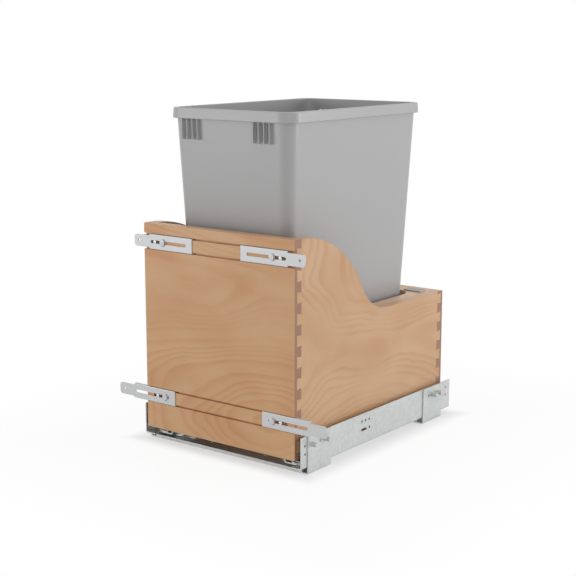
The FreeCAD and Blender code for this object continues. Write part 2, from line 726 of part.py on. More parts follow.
# -------------------------------------------------------------------------------- the steel frame
def make_side_channel():
    """The right channel: a high web, a flange in under the box and a lip along its edge."""
    body = new_body("right_side_channel")
    underside = -size.tray_drop
    sketch = new_sketch(body, "XZ_Plane", size.channel_front)
    draw_outline(sketch, [(web_outer, size.web_top), (size.web_inner, size.web_top),
                          (size.web_inner, tray), (size.lip_inner + size.steel, tray),
                          (size.lip_inner + size.steel, -size.lip_drop),
                          (size.lip_inner, -size.lip_drop), (size.lip_inner, underside),
                          (web_outer, underside)])
    folded = add_pad(body, sketch, size.channel_rear - size.channel_front)
    outside = edges_near(folded, 1, [(web_outer, underside), (size.lip_inner, underside)])
    rounded = add_fillet(body, folded, outside, size.bend)
    inside = edges_near(rounded, 1, [(size.web_inner, tray), (size.lip_inner + size.steel, tray)])
    add_fillet(body, rounded, inside, size.bend - size.steel)
    notch = draw_rectangle(new_sketch(body, "XY_Plane", underside), 0, size.notch_across,
                           size.channel_front, size.notch_back)
    add_pocket(body, notch, size.tray_drop)

    holes = new_sketch(body, "YZ_Plane", size.web_inner)
    places = [(size.front_holes_back, size.front_holes_low), (size.front_holes_back, size.front_holes_high),
              (size.single_back, size.single_level),
              (size.rear_holes_back, size.rear_holes_low), (size.rear_holes_back, size.rear_holes_high)]
    places += [(size.row_start + size.row_pitch * index, size.row_level) for index in range(ROW_HOLES)]
    for back, level in places:
        draw_circle(holes, back, level, size.small_hole)
    draw_slot(holes, size.web_slot_back, size.web_slot_level, size.web_slot_long, size.small_hole)
    add_pocket(body, holes, size.steel)
    return body


def make_floor_bracket(name, start, end, studs, hole, lightened):
    """A floor bracket: one sheet, flat on the floor and turned up at both ends, with welded studs."""
    body = new_body(name)
    floor, plate = -size.floor_drop, size.steel - size.floor_drop
    sketch = new_sketch(body, "XZ_Plane", start)
    draw_outline(sketch, [(-upright_outer, floor), (upright_outer, floor), (upright_outer, size.web_top),
                          (web_outer, size.web_top), (web_outer, plate), (-web_outer, plate),
                          (-web_outer, size.web_top), (-upright_outer, size.web_top)])
    folded = add_pad(body, sketch, end - start)
    outside = edges_near(folded, 1, [(upright_outer, floor), (-upright_outer, floor)])
    rounded = add_fillet(body, folded, outside, size.bend)
    inside = edges_near(rounded, 1, [(web_outer, plate), (-web_outer, plate)])
    add_fillet(body, rounded, inside, size.bend - size.steel)
    hem = draw_rectangle(new_sketch(body, "XZ_Plane", start), -size.hem_half, size.hem_half,
                         plate, size.hem_tall - size.floor_drop)
    add_pad(body, hem, size.steel)

    middle = (start + end) / 2
    floor_holes = new_sketch(body, "XY_Plane", floor)
    for side in SIDES:
        draw_slot(floor_holes, size.floor_slot_across * side, middle, size.floor_slot_long,
                  size.floor_slot_wide)
        if lightened:
            draw_circle(floor_holes, size.relief_across * side, middle, size.relief_hole)
            draw_circle(floor_holes, size.pilot_across * side, middle, size.small_hole)
    add_pocket(body, floor_holes, size.steel)
    upright_hole = draw_circle(new_sketch(body, "YZ_Plane", -upright_outer), hole, size.stud_level,
                               size.small_hole)
    add_pocket(body, upright_hole, upright_outer * 2)
    for side in SIDES:
        posts = new_sketch(body, "YZ_Plane", upright_outer * side)
        for back in studs:
            draw_circle(posts, back, size.stud_level, size.stud)
        add_pad(body, posts, size.stud_reach, side)
    return body


# ------------------------------------------------------------------------------------- the slides
def draw_channel(sketch, back, opening, reach, half, steel, hook=None):
    """The section of a slide member or cage: a level web, two legs and, with a hook, turned-in edges."""
    outside = back + reach * opening
    inside = back + (reach - steel) * opening
    web = back + steel * opening
    left, right = size.slide_across - half, size.slide_across + half
    if hook is None:
        corners = [(left, back), (left, outside), (left + steel, outside), (left + steel, web),
                   (right - steel, web), (right - steel, outside), (right, outside), (right, back)]
    else:
        corners = [(left, back), (left, outside), (left + hook, outside), (left + hook, inside),
                   (left + steel, inside), (left + steel, web), (right - steel, web),
                   (right - steel, inside), (right - hook, inside), (right - hook, outside),
                   (right, outside), (right, back)]
    return draw_outline(sketch, corners)


def draw_screw_places(sketch, width, side=1):
    """A hexagon at each runner screw of one slide, the right-hand (1) or the left-hand (-1) one."""
    for index in range(RUNNER_SCREWS):
        draw_hexagon(sketch, size.slide_across * side, size.screw_first + size.screw_pitch * index, width)
    return sketch


def make_outer_member():
    """The outer slide member, fixed to the channel's flange."""
    body = new_body("right_outer_slide_member")
    sketch = draw_channel(new_sketch(body, "XZ_Plane", size.slide_front), tray, 1,
                          size.outer_reach, size.outer_half, size.slide_steel, size.outer_hook)
    add_pad(body, sketch, size.outer_long)
    return body


def make_middle_member():
    """The middle slide member, which travels half as far as the box."""
    body = new_body("right_middle_slide_member")
    sketch = draw_channel(new_sketch(body, "XZ_Plane", size.slide_front), tray + size.middle_rise, 1,
                          size.middle_reach, size.middle_half, size.slide_steel, size.middle_hook)
    add_pad(body, sketch, size.middle_long)
    return body


def make_inner_member():
    """The inner slide member, screwed up into the side board's lower edge."""
    body = new_body("right_inner_slide_member")
    sketch = draw_channel(new_sketch(body, "XZ_Plane", size.slide_front), 0, -1,
                          size.inner_reach, size.inner_half, size.slide_steel)
    add_pad(body, sketch, size.middle_long)
    holes = draw_screw_places(new_sketch(body, "XY_Plane"), size.screw_shank)
    add_pocket(body, holes, size.slide_steel, -1)
    return body


def make_cage(name, rise, half, reach, steel, ball_rise):
    """A ball cage: a thin channel with a window for each ball."""
    body = new_body(name)
    sketch = draw_channel(new_sketch(body, "XZ_Plane", size.cage_start), tray + rise, 1, reach, half, steel)
    add_pad(body, sketch, size.cage_long)
    window = draw_square(new_sketch(body, "YZ_Plane", size.slide_across - half),
                         size.cage_start + size.ball_start, tray + ball_rise, size.ball_window)
    pierced = add_pocket(body, window, half * 2)
    add_row(body, [pierced], "Y_Axis", as_size(BALLS_IN_ROW), size.ball_pitch)
    return body


def draw_octagon(sketch, across, up, width):
    """A regular octagon, given by its middle and its width over the flats."""
    flat, corner = width / 2, width / 2 * octagon_side
    turns = [(corner, flat), (-corner, flat), (-flat, corner), (-flat, -corner),
             (-corner, -flat), (corner, -flat), (flat, -corner), (flat, corner)]
    return draw_outline(sketch, [(across + aside, up + rise) for aside, rise in turns])


def make_balls(name, ball_rise, ball_half):
    """The balls of one cage, in a left and a right row, each a round block of small flats."""
    body = new_body(name)
    for side in SIDES:
        sketch = new_sketch(body, "XY_Plane", tray + ball_rise - size.ball / 2)
        draw_octagon(sketch, size.slide_across + ball_half * side, size.cage_start + size.ball_start,
                     size.ball)
        block = add_pad(body, sketch, size.ball)
        row = add_row(body, [block], "Y_Axis", as_size(BALLS_IN_ROW), size.ball_pitch)
    doc.recompute()
    bevel = body.newObject("PartDesign::Chamfer", "Bevel")
    bevel.Base = (row, [f"Edge{number}" for number, edge in enumerate(row.Shape.Edges, start=1)
                        if edge.BoundBox.ZLength < edge.Length / 2])
    bind(bevel, "Size", size.ball * (1 - octagon_side) / 2)
    return body


def make_runner_screws():
    """The screws that hold the inner slide members to the side boards."""
    body = new_body("runner_screws")
    heads, shanks = (new_sketch(body, "XY_Plane", -size.slide_steel) for _ in range(2))
    for side in SIDES:
        draw_screw_places(heads, size.screw_head, side)
        draw_screw_places(shanks, size.screw_shank, side)
    add_pad(body, heads, size.screw_head_tall, -1)
    add_pad(body, shanks, size.slide_steel + size.screw_deep)
    return body


# --------------------------------------------------------------------------- the soft-close units
def make_damper():
    """A closed soft-close housing in the channel's tray, with a track open to the front."""
    body = new_body("right_soft_close_housing")
    add_pad(body, draw_rectangle(new_sketch(body, "XY_Plane", tray), size.damper_inner,
                                 size.damper_outer, size.damper_front,
                                 size.damper_front + size.damper_long), -size.damper_top - tray)
    track = draw_rectangle(new_sketch(body, "XY_Plane", -size.damper_top),
                           size.track_across - size.track_wide / 2,
                           size.track_across + size.track_wide / 2,
                           size.damper_front, size.damper_front + size.track_long)
    add_pocket(body, track, size.track_deep, -1)
    return body


def draw_pin_places(sketch):
    """A square at each trigger pin."""
    for side in SIDES:
        draw_square(sketch, size.track_across * side, size.pin_back, size.pin_wide)
    return sketch


def make_catch():
    """The catch in the housing's track, which holds the trigger pin."""
    body = new_body("right_soft_close_catch")
    sketch = draw_rectangle(new_sketch(body, "XY_Plane", -size.damper_top - size.track_deep),
                            size.track_across - size.catch_wide / 2,
                            size.track_across + size.catch_wide / 2,
                            size.catch_start, size.catch_start + size.catch_long)
    add_pad(body, sketch, size.catch_tall)
    return body


def make_trigger_pins():
    """The square pins under the bottom panel that pull against the catches."""
    body = new_body("soft_close_trigger_pins")
    pins = draw_pin_places(new_sketch(body, "XY_Plane", -size.pin_drop))
    add_pad(body, pins, size.pin_drop + size.bottom_low + size.pin_deep)
    return body


# ------------------------------------------------------------------------------------- the bin
def draw_wall(sketch, inset):
    """The bin's outline, so far inside the rim's face, with its round corners."""
    return draw_rounded(sketch, inset - size.rim_half, size.rim_half - inset,
                        size.rim_front + inset, size.rim_rear - inset, size.rim_radius - inset)


def make_bin():
    """The tapered bin: a drafted block, rounded and shelled, with a turned-down rim and fins."""
    body = new_body("trash_bin")
    outline = draw_rectangle(new_sketch(body, "XY_Plane", size.rim_top),
                             size.rim_overhang - size.rim_half, size.rim_half - size.rim_overhang,
                             size.rim_front + size.rim_overhang, size.rim_rear - size.rim_overhang)
    block = add_pad(body, outline, bin_height, -1)
    tapered = body.newObject("PartDesign::Draft", "Draft")
    tapered.Base = (block, faces_towards(block, 0))
    tapered.NeutralPlane = (block, faces_towards(block, 1))
    tapered.Angle = bin_draft_angle
    tapered.Reversed = True
    doc.recompute()
    corners = [f"Edge{number}" for number, edge in enumerate(tapered.Shape.Edges, start=1)
               if edge.BoundBox.ZLength > size.rim_tall.number]
    rounded = add_fillet(body, tapered, corners, size.rim_radius - size.rim_overhang)
    shell = body.newObject("PartDesign::Thickness", "Shell")
    shell.Base = (rounded, faces_towards(rounded, 1))
    bind(shell, "Value", size.bin_wall)
    shell.Join = "Intersection"
    shell.Reversed = True

    for at, length, taper in ((size.rim_top - size.bin_wall, size.bin_wall - size.rim_chamfer, 0),
                              (size.rim_top - size.rim_chamfer, size.rim_chamfer, 45)):
        rim = draw_wall(new_sketch(body, "XY_Plane", at), 0)
        draw_wall(rim, size.rim_overhang + size.bin_wall / 2)
        add_pad(body, rim, length, 1, taper)
    skirt = draw_wall(new_sketch(body, "XY_Plane", size.rim_top - size.rim_tall), 0)
    draw_wall(skirt, size.bin_wall)
    add_pad(body, skirt, size.rim_tall - size.bin_wall)
    for group in SIDES:
        for face in SIDES:
            add_fins(body, group, face)
    return body


def add_fins(body, group, face):
    """One group of fins, from the rim's underside down the front (1) or rear (-1) wall."""
    first = size.fin_across * group - size.fin_pitch * (size.fin_count - 1) / 2 - size.fin_thick / 2
    sketch = new_sketch(body, "YZ_Plane", first)
    edge = size.rim_front if face == 1 else size.rim_rear
    high = size.rim_top - size.bin_wall / 2
    draw_outline(sketch, [(edge + (size.fin_inset + size.fin_lean) * face, size.fin_low),
                          (edge + (size.rim_overhang + size.bin_wall) * face, size.fin_low),
                          (edge + (size.rim_overhang + size.bin_wall / 2) * face, high),
                          (edge + size.fin_inset * face, high)])
    fin = add_pad(body, sketch, size.fin_thick)
    return add_row(body, [fin], "X_Axis", size.fin_count, size.fin_pitch)


# ------------------------------------------------------------------------------- the whole unit
def build():
    """Make every sub-part."""
    make_front_panel()
    mirror_left(make_side_board())
    make_back_panel()
    make_bottom_panel()
    make_deck_panel()
    make_deck_cleats()
    make_blank_plate()
    for name, inner, level in (("right_upper_door_bracket", size.upper_inner, size.upper_level),
                               ("right_lower_door_bracket", size.lower_inner, size.lower_level)):
        mirror_left(make_door_bracket(name, inner, level))
    make_clamp_screws()
    make_clamp_discs()
    mirror_left(make_side_channel())
    make_floor_bracket("front_floor_bracket", size.front_bracket_start, size.front_bracket_end,
                       (size.front_stud_first, size.front_stud_second), size.front_upright_hole, True)
    make_floor_bracket("rear_floor_bracket", size.rear_bracket_start, size.rear_bracket_end,
                       (size.rear_stud_first, size.rear_stud_second), size.rear_upright_hole, False)
    for make in (make_outer_member, make_middle_member, make_inner_member, make_damper, make_catch):
        mirror_left(make())
    mirror_left(make_cage("right_outer_ball_cage", size.outer_cage_rise, size.outer_cage_half,
                          size.outer_cage_reach, size.outer_cage_steel, size.outer_ball_rise))
    mirror_left(make_cage("right_inner_ball_cage", size.inner_cage_rise, size.inner_cage_half,
                          size.inner_cage_reach, size.inner_cage_steel, size.inner_ball_rise))
    mirror_left(make_balls("right_outer_balls", size.outer_ball_rise, size.outer_ball_half))
    mirror_left(make_balls("right_inner_balls", size.inner_ball_rise, size.inner_ball_half))
    make_runner_screws()
    make_trigger_pins()
    make_bin()
    doc.recompute()


def check():
    """Stop if any object failed, any sub-part is unsound or any cut removed nothing."""
    for thing in doc.Objects:
        if {"Invalid", "Error"} & set(thing.State):
            raise RuntimeError(f"{thing.Name} of {thing.Label} is {thing.State}")
        if thing.TypeId == "PartDesign::Pocket":
            if thing.Shape.Volume >= thing.BaseFeature.Shape.Volume - 1e-6:
                raise RuntimeError(f"{thing.Name} cuts nothing")
        if thing.TypeId == "Sketcher::SketchObject" and not thing.FullyConstrained:
            raise RuntimeError(f"{thing.Name} is not fully constrained")
    for name, thing in subparts.items():
        if thing.Shape.isNull() or not thing.Shape.isValid():
            raise RuntimeError(f"{name} has no sound shape")


def export():
    """Write each sub-part to its own file."""
    os.makedirs("parts", exist_ok=True)
    for name, thing in subparts.items():
        thing.Shape.exportStep(f"parts/{name}.step")
        box = thing.Shape.BoundBox
        print(f"{name:30s} {len(thing.Shape.Solids):3d} solids {thing.Shape.Volume:12.1f} mm3  "
              f"x {box.XMin:8.2f} {box.XMax:8.2f}  y {box.YMin:8.2f} {box.YMax:8.2f}  "
              f"z {box.ZMin:7.2f} {box.ZMax:7.2f}")


build()
check()
export()
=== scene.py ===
"""A pull-out waste bin unit for a kitchen cabinet, dressed and lit.

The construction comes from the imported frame. Each class below is a sub-assembly: it gives the
frame's pieces their finish, and models by hand the few pieces that need more shape than the frame
holds, such as the moulded bin and the screw heads. Sizes are in metres, and places are worked out
from the frame's own boxes.
"""
import functools
import logging
import math
from collections.abc import Callable, Iterable, Sequence
from dataclasses import dataclass
from enum import Enum
from typing import Any, Protocol

import bmesh
import bpy
from mathutils import Matrix, Vector


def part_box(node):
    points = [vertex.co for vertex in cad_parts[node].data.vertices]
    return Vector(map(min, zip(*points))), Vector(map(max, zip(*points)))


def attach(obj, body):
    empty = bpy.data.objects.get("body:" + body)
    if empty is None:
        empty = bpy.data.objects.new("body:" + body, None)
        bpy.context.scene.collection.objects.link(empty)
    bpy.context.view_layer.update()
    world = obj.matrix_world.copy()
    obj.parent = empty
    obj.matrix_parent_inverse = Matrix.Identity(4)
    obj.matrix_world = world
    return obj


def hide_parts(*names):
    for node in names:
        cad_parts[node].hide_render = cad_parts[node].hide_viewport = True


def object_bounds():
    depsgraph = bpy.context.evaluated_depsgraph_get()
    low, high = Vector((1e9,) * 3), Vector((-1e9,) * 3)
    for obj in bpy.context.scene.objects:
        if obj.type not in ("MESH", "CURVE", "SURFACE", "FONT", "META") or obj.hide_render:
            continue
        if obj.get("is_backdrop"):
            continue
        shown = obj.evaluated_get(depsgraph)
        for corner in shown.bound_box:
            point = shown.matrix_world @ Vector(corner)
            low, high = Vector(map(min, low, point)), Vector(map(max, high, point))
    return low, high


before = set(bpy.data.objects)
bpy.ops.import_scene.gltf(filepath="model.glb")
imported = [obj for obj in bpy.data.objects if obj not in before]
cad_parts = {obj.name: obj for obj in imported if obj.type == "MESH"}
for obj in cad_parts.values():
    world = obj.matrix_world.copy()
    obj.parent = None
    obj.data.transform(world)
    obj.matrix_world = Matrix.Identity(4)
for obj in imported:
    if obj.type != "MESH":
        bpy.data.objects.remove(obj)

LOG = logging.getLogger("pull_out_bin")
MM = 0.001
SIDES = {"right": 1, "left": -1}
ALIGNED = 0.9  # the least part of a direction along an axis that counts as lying along it
NEAR = 0.1 * MM  # how far from a plane a point may lie and still count as on it
NOISE_MIDDLE = 0.5
COLOUR_OUTPUT = 2  # the Mix node's result when it mixes colours
WHITE = (1.0, 1.0, 1.0, 1.0)
Colour = tuple[float, float, float]
Span = tuple[float, float]
Waves = tuple[float, float, float]
Test = Callable[[Vector, Vector], bool]


# ------------------------------------------------------------------------------------ shader maths
class Signal:
    """One output of a node. Python's operators on it add Math nodes."""

    def __init__(self, graph: "Graph", socket: bpy.types.NodeSocket) -> None:
        """Wraps a socket of the graph's tree."""
        self.graph = graph
        self.socket = socket

    def output(self, name: str) -> "Signal":
        """Another output of the same node, by its name."""
        return Signal(self.graph, self.socket.node.outputs[name])

    def math(self, operation: str, *others: "Signal | float") -> "Signal":
        """A Math node that has this signal as its first value and the others after it."""
        values = dict(enumerate((self, *others)))
        return self.graph.add("ShaderNodeMath", {"operation": operation}, values)

    def __add__(self, other: "Signal | float") -> "Signal":
        """self + other."""
        return self.math("ADD", other)

    __radd__ = __add__

    def __mul__(self, other: "Signal | float") -> "Signal":
        """self * other."""
        return self.math("MULTIPLY", other)

    __rmul__ = __mul__

    def __sub__(self, other: "Signal | float") -> "Signal":
        """self - other."""
        return self.math("SUBTRACT", other)

    def __rsub__(self, other: float) -> "Signal":
        """other - self."""
        return self * -1.0 + other

    def ramp(self, low: float, high: float) -> "Signal":
        """0 below low and 1 above high, with a smooth step between; low may be the larger."""
        across = (self - low) * (1.0 / (high - low))
        return self.graph.add("ShaderNodeMapRange", {"interpolation_type": "SMOOTHSTEP"},
                              {"Value": across})

    def swing(self, spread: float) -> "Signal":
        """Noise round 0.5 as a value round 0, spread by that factor."""
        return (self - NOISE_MIDDLE) * spread


class Graph:
    """The nodes of one material or of the world."""

    def __init__(self, owner: bpy.types.Material | bpy.types.World) -> None:
        """Starts a tree anew, with its output node alone.

        Args:
            owner: the material or world that has the tree.
        """
        owner.use_nodes = True
        self.owner = owner
        self.tree = owner.node_tree
        self.tree.nodes.clear()
        self.end = self.tree.nodes.new(f"ShaderNodeOutput{type(owner).__name__}").inputs["Surface"]

    def add(self, kind: str, settings: dict[str, Any] | None = None,
            sockets: dict[str | int, Any] | None = None, out: str | int = 0) -> Signal:
        """Adds a node of any type.

        Args:
            kind: the node's type.
            settings: its properties.
            sockets: values or signals for its inputs, by name, identifier or number.
            out: the output to return.

        Returns:
            That output.
        """
        node = self.tree.nodes.new(kind)
        for name, value in (settings or {}).items():
            setattr(node, name, value)
        for key, value in (sockets or {}).items():
            socket = self._input(node, key)
            if isinstance(value, Signal):
                self.tree.links.new(value.socket, socket)
            else:
                socket.default_value = value
        return Signal(self, node.outputs[out])

    @staticmethod
    def _input(node: bpy.types.Node, key: str | int) -> bpy.types.NodeSocket:
        """A node's input.

        Args:
            node: the node.
            key: the input's number, identifier or name.

        Returns:
            The input.
        """
        if isinstance(key, int):
            return node.inputs[key]
        by_identifier = {socket.identifier: socket for socket in node.inputs}
        return by_identifier.get(key) or node.inputs[key]

    def place(self, axes: Iterable[str] = "XYZ") -> tuple[Signal, ...]:
        """The point's object coordinates along those axes."""
        return self._split("Object", axes)

    def facing(self, axes: Iterable[str] = "XYZ") -> tuple[Signal, ...]:
        """The surface's direction in object coordinates along those axes."""
        return self._split("Normal", axes)

    def _split(self, kind: str, axes: Iterable[str]) -> tuple[Signal, ...]:
        """Splits one kind of coordinates.

        Args:
            kind: the Texture Coordinate node's output.
            axes: the axes to give, in order.

        Returns:
            The parts along those axes.
        """
        whole = self.add("ShaderNodeTexCoord", out=kind)
        parts = self.add("ShaderNodeSeparateXYZ", sockets={"Vector": whole})
        return tuple(parts.output(axis) for axis in axes)

    def vector(self, *parts: Signal | float) -> Signal:
        """Three values as one vector."""
        return self.add("ShaderNodeCombineXYZ", sockets=dict(enumerate(parts)))

    def noise(self, point: Signal, scale: float, octaves: float) -> Signal:
        """Soft noise between about 0.2 and 0.8, with that many waves to the point's metre."""
        return self.add("ShaderNodeTexNoise", sockets={
            "Vector": point, "Scale": scale, "Detail": octaves})

    def streaks(self, place: Sequence[Signal | float], waves: Waves, octaves: float,
                shift: Waves = (0.0, 0.0, 0.0)) -> Signal:
        """Soft noise that is drawn out, with its own waves along each axis.

        Args:
            place: where it is read, in three parts.
            waves: waves to the metre along each part.
            octaves: how many finer noises lie on top of the first.
            shift: how far the noise is moved along each part, in waves.

        Returns:
            The noise's value.
        """
        parts = [part * wave for part, wave in zip(place, waves)]
        moved = [part + move if move else part for part, move in zip(parts, shift)]
        return self.noise(self.vector(*moved), 1.0, octaves)

    def blend(self, factor: Signal, first: Signal | Colour, second: Signal | Colour) -> Signal:
        """Mixes two colours.

        Args:
            factor: how much of the second there is, 0 to 1.
            first: the first colour.
            second: the second colour.

        Returns:
            The mixed colour.
        """
        colours = [c if isinstance(c, Signal) else (*c, 1.0) for c in (first, second)]
        return self.add("ShaderNodeMix", {"data_type": "RGBA"}, {
            "Factor_Float": factor, "A_Color": colours[0], "B_Color": colours[1]},
            out=COLOUR_OUTPUT)

    def tint(self, colour: Signal | Colour, strength: Signal) -> Signal:
        """A colour made lighter or darker by a value round 1."""
        shade = self.vector(strength, strength, strength)
        return self.add("ShaderNodeVectorMath", {"operation": "MULTIPLY"}, {0: colour, 1: shade})

    def bump(self, height: Signal, depth: float, edge: float = 0.0) -> Signal:
        """A surface direction for small relief, over edges that look eased.

        Args:
            height: the relief, 0 to 1.
            depth: how deep that is, in metres.
            edge: the radius that edges seem to have, in metres; 0 leaves them sharp.

        Returns:
            The direction, for a shader's Normal.
        """
        sockets: dict[str | int, Any] = {"Height": height, "Distance": depth, "Strength": 1.0}
        if edge:
            sockets["Normal"] = self.add("ShaderNodeBevel", {"samples": 6}, {"Radius": edge})
        return self.add("ShaderNodeBump", sockets=sockets)

    def seen(self) -> Signal:
        """1 on a ray from the camera, off something glossy or through something clear, else 0."""
        path = self.add("ShaderNodeLightPath", out="Is Camera Ray")
        seen = path
        for ray in ("Is Glossy Ray", "Is Transmission Ray"):
            seen = seen.math("MAXIMUM", path.output(ray))
        return seen

    def principled(self, **sockets: Any) -> Signal:
        """A Principled surface, its sockets named with underscores for spaces."""
        named = {name.replace("_", " ").title(): value for name, value in sockets.items()}
        return self.add("ShaderNodeBsdfPrincipled", sockets=named)

    def show(self, shader: Signal) -> bpy.types.Material | bpy.types.World:
        """Links a shader to the output, and gives the material or world that shows it."""
        self.tree.links.new(shader.socket, self.end)
        return self.owner


class Finish(Protocol):
    """What every finish can do."""

    def material(self) -> bpy.types.Material:
        """The finish as a material, made once."""


# ---------------------------------------------------------------------------------------- finishes
class Grain(Enum):
    """How a board's grain lies: the axes along it, across its face and through the board."""

    FRONT = ("X", "Z", "Y")
    SIDE = ("Y", "Z", "X")
    DECK = ("X", "Y", "Z")
    RAIL = ("Y", "X", "Z")


@dataclass(frozen=True)
class Maple:
    """Clear-lacquered maple veneer: growth rings round two hearts, fine flecks and end grain.

    Places on a board are in metres along and across its grain. Waves are to the metre along the
    grain, across it and through the board, where 0 leaves a pattern flat.
    """

    grain: Grain
    board: float
    heart: tuple[float, float] = (0.0, 0.1)
    second: tuple[float, float] = (0.02, 0.62)
    squash: float = 0.5  # below 1 it draws the rings out along the grain
    core: float = 20 * MM  # the blunt middle of each heart
    merge: float = 120 * MM  # how softly the two hearts' rings run together
    rings: float = 82.0
    wander: float = 7.5
    tremor: float = 1.1
    bunch_rate: float = 1.3
    bunching: float = 0.45
    darkening: Span = (0.30, 0.84)
    ring_edge: Span = (1.0, 0.86)
    veil_span: Span = (0.34, 0.60)
    faintest: float = 0.15
    bend_waves: Waves = (4.2, 6.5, 0.0)
    ripple_waves: Waves = (15.0, 26.0, 0.0)
    veil_waves: Waves = (4.5, 7.0, 0.0)
    cloud_waves: Waves = (8.0, 13.0, 1.0)
    fibre_waves: Waves = (46.0, 520.0, 520.0)
    fleck_waves: Waves = (170.0, 900.0, 900.0)
    dot_waves: Waves = (40.0, 900.0, 900.0)
    board_step: float = 3.7  # moves the noise from board to board, in waves
    veil_step: float = 2.0
    figure_share: float = 0.50
    cloud_share: float = 0.50
    cloud_span: Span = (0.32, 0.66)
    fibre_share: float = 0.30
    pore_span: Span = (0.60, 0.72)
    pore_share: float = 0.07
    end_span: Span = (0.6, 0.8)
    dot_share: float = 0.4
    light: Colour = (0.750, 0.475, 0.262)
    dark: Colour = (0.655, 0.335, 0.150)
    end: Colour = (0.40, 0.205, 0.125)
    roughness: float = 0.38
    fibre_rough: float = 0.12
    end_rough: float = 0.14
    lacquer: float = 0.24
    lacquer_rough: float = 0.3
    relief: float = 0.03 * MM
    fibre_high: float = 0.6
    pore_deep: float = 0.4
    edge: float = 0.7 * MM

    def _reach(self, along: Signal, across: Signal, heart: tuple[float, float]) -> Signal:
        """The distance from a heart, drawn out along the grain."""
        aside, up = (along - heart[0]) * self.squash, across - heart[1]
        return (aside * aside + up * up + self.core ** 2).math("SQRT")

    def _figure(self, graph: Graph, along: Signal, across: Signal) -> Signal:
        """The growth rings, 0 in pale early wood and 1 on a ring's dark edge.

        Args:
            graph: the material's nodes.
            along: the place along the grain.
            across: the place across it.

        Returns:
            The figure.
        """
        face = (along, across, 0.0)
        start = self.board * self.board_step
        bend = graph.streaks(face, self.bend_waves, 1.0, (start, 0.0, start))
        ripple = graph.streaks(face, self.ripple_waves, 1.0, (0.0, start, start))
        near = self._reach(along, across, self.heart).math(
            "SMOOTH_MIN", self._reach(along, across, self.second), self.merge)
        count = near * self.rings + bend.swing(self.wander) + ripple.swing(self.tremor)
        count = count + (count * self.bunch_rate).math("SINE") * self.bunching
        ring = count.math("FRACT")
        late = ring.ramp(*self.darkening) * ring.ramp(*self.ring_edge)
        veil = graph.streaks(face, self.veil_waves, 1.0, (0.0, 0.0, start + self.veil_step))
        return late * (veil.ramp(*self.veil_span) * (1.0 - self.faintest) + self.faintest)

    @functools.cache
    def material(self) -> bpy.types.Material:
        """The finish as a material."""
        graph = Graph(bpy.data.materials.new(f"maple_{self.grain.name.lower()}_{self.board:g}"))
        place = graph.place(self.grain.value)
        figure = self._figure(graph, place[0], place[1])
        cloud = graph.streaks(place, self.cloud_waves, 2.0, (0.0, self.board, 0.0))
        fibre = graph.streaks(place, self.fibre_waves, 2.0)
        pores = graph.streaks(place, self.fleck_waves, 1.0).ramp(*self.pore_span)
        mix = (figure * self.figure_share + cloud.ramp(*self.cloud_span) * self.cloud_share
               + fibre.swing(self.fibre_share))
        face = graph.tint(graph.blend(mix, self.light, self.dark), 1.0 - pores * self.pore_share)
        (end_on,) = graph.facing(self.grain.value[0])
        cut = end_on.math("ABSOLUTE").ramp(*self.end_span)
        dots = graph.streaks(place, self.dot_waves, 2.0)
        ends = graph.tint(self.end, dots.swing(self.dot_share) + 1.0)
        return graph.show(graph.principled(
            base_color=graph.blend(cut, face, ends),
            roughness=fibre * self.fibre_rough + cut * self.end_rough + self.roughness,
            coat_weight=self.lacquer, coat_roughness=self.lacquer_rough,
            normal=graph.bump(fibre * self.fibre_high - pores * self.pore_deep, self.relief, self.edge)))


class Plating(Enum):
    """How sheet steel is plated: colour, metallic share, roughness and depth of its mottling."""

    WHITE_ZINC = ((0.66, 0.67, 0.68), 0.30, 0.42, 0.03)
    GALVANISED = ((0.60, 0.625, 0.615), 0.72, 0.36, 0.11)
    ROLLED = ((0.55, 0.57, 0.585), 0.85, 0.30, 0.05)


@dataclass(frozen=True)
class SheetSteel:
    """Plated sheet steel with crystals of zinc, rolling marks and softly worn edges."""

    plating: Plating
    crystal: float = 4.5 * MM
    crystal_rough: float = 0.8
    warp_waves: float = 90.0
    warp: Waves = (10 * MM, 12 * MM, 0.0)
    cloud_waves: float = 35.0
    cloud_share: float = 1.4
    rolled_waves: Waves = (900.0, 9.0, 900.0)
    rolled_share: float = 0.06
    rolled_rough: float = 0.10
    relief: float = 0.03 * MM
    cloud_high: float = 0.7
    rolled_high: float = 0.3
    edge: float = 0.5 * MM

    @functools.cache
    def material(self) -> bpy.types.Material:
        """The finish as a material."""
        colour, metallic, roughness, mottle = self.plating.value
        graph = Graph(bpy.data.materials.new(f"steel_{self.plating.name.lower()}"))
        place = graph.place()
        point = graph.vector(*place)
        shift = graph.noise(point, self.warp_waves, 2.0)
        warped = [part + shift * warp if warp else part for part, warp in zip(place, self.warp)]
        crystals = graph.add("ShaderNodeTexVoronoi", {"feature": "F1"}, {
            "Vector": graph.vector(*warped), "Scale": 1 / self.crystal}, out="Color")
        grey = graph.add("ShaderNodeSeparateColor", sockets={"Color": crystals})
        clouds = graph.noise(point, self.cloud_waves, 3.0)
        rolled = graph.streaks(place, self.rolled_waves, 2.0)
        shade = (grey.swing(mottle) + clouds.swing(mottle * self.cloud_share)
                 + rolled.swing(self.rolled_share) + 1.0)
        return graph.show(graph.principled(
            base_color=graph.tint(colour, shade),
            metallic=metallic,
            roughness=(grey.swing(mottle * self.crystal_rough) + rolled.swing(self.rolled_rough)
                       + roughness),
            normal=graph.bump(clouds * self.cloud_high + rolled * self.rolled_high,
                              self.relief, self.edge)))


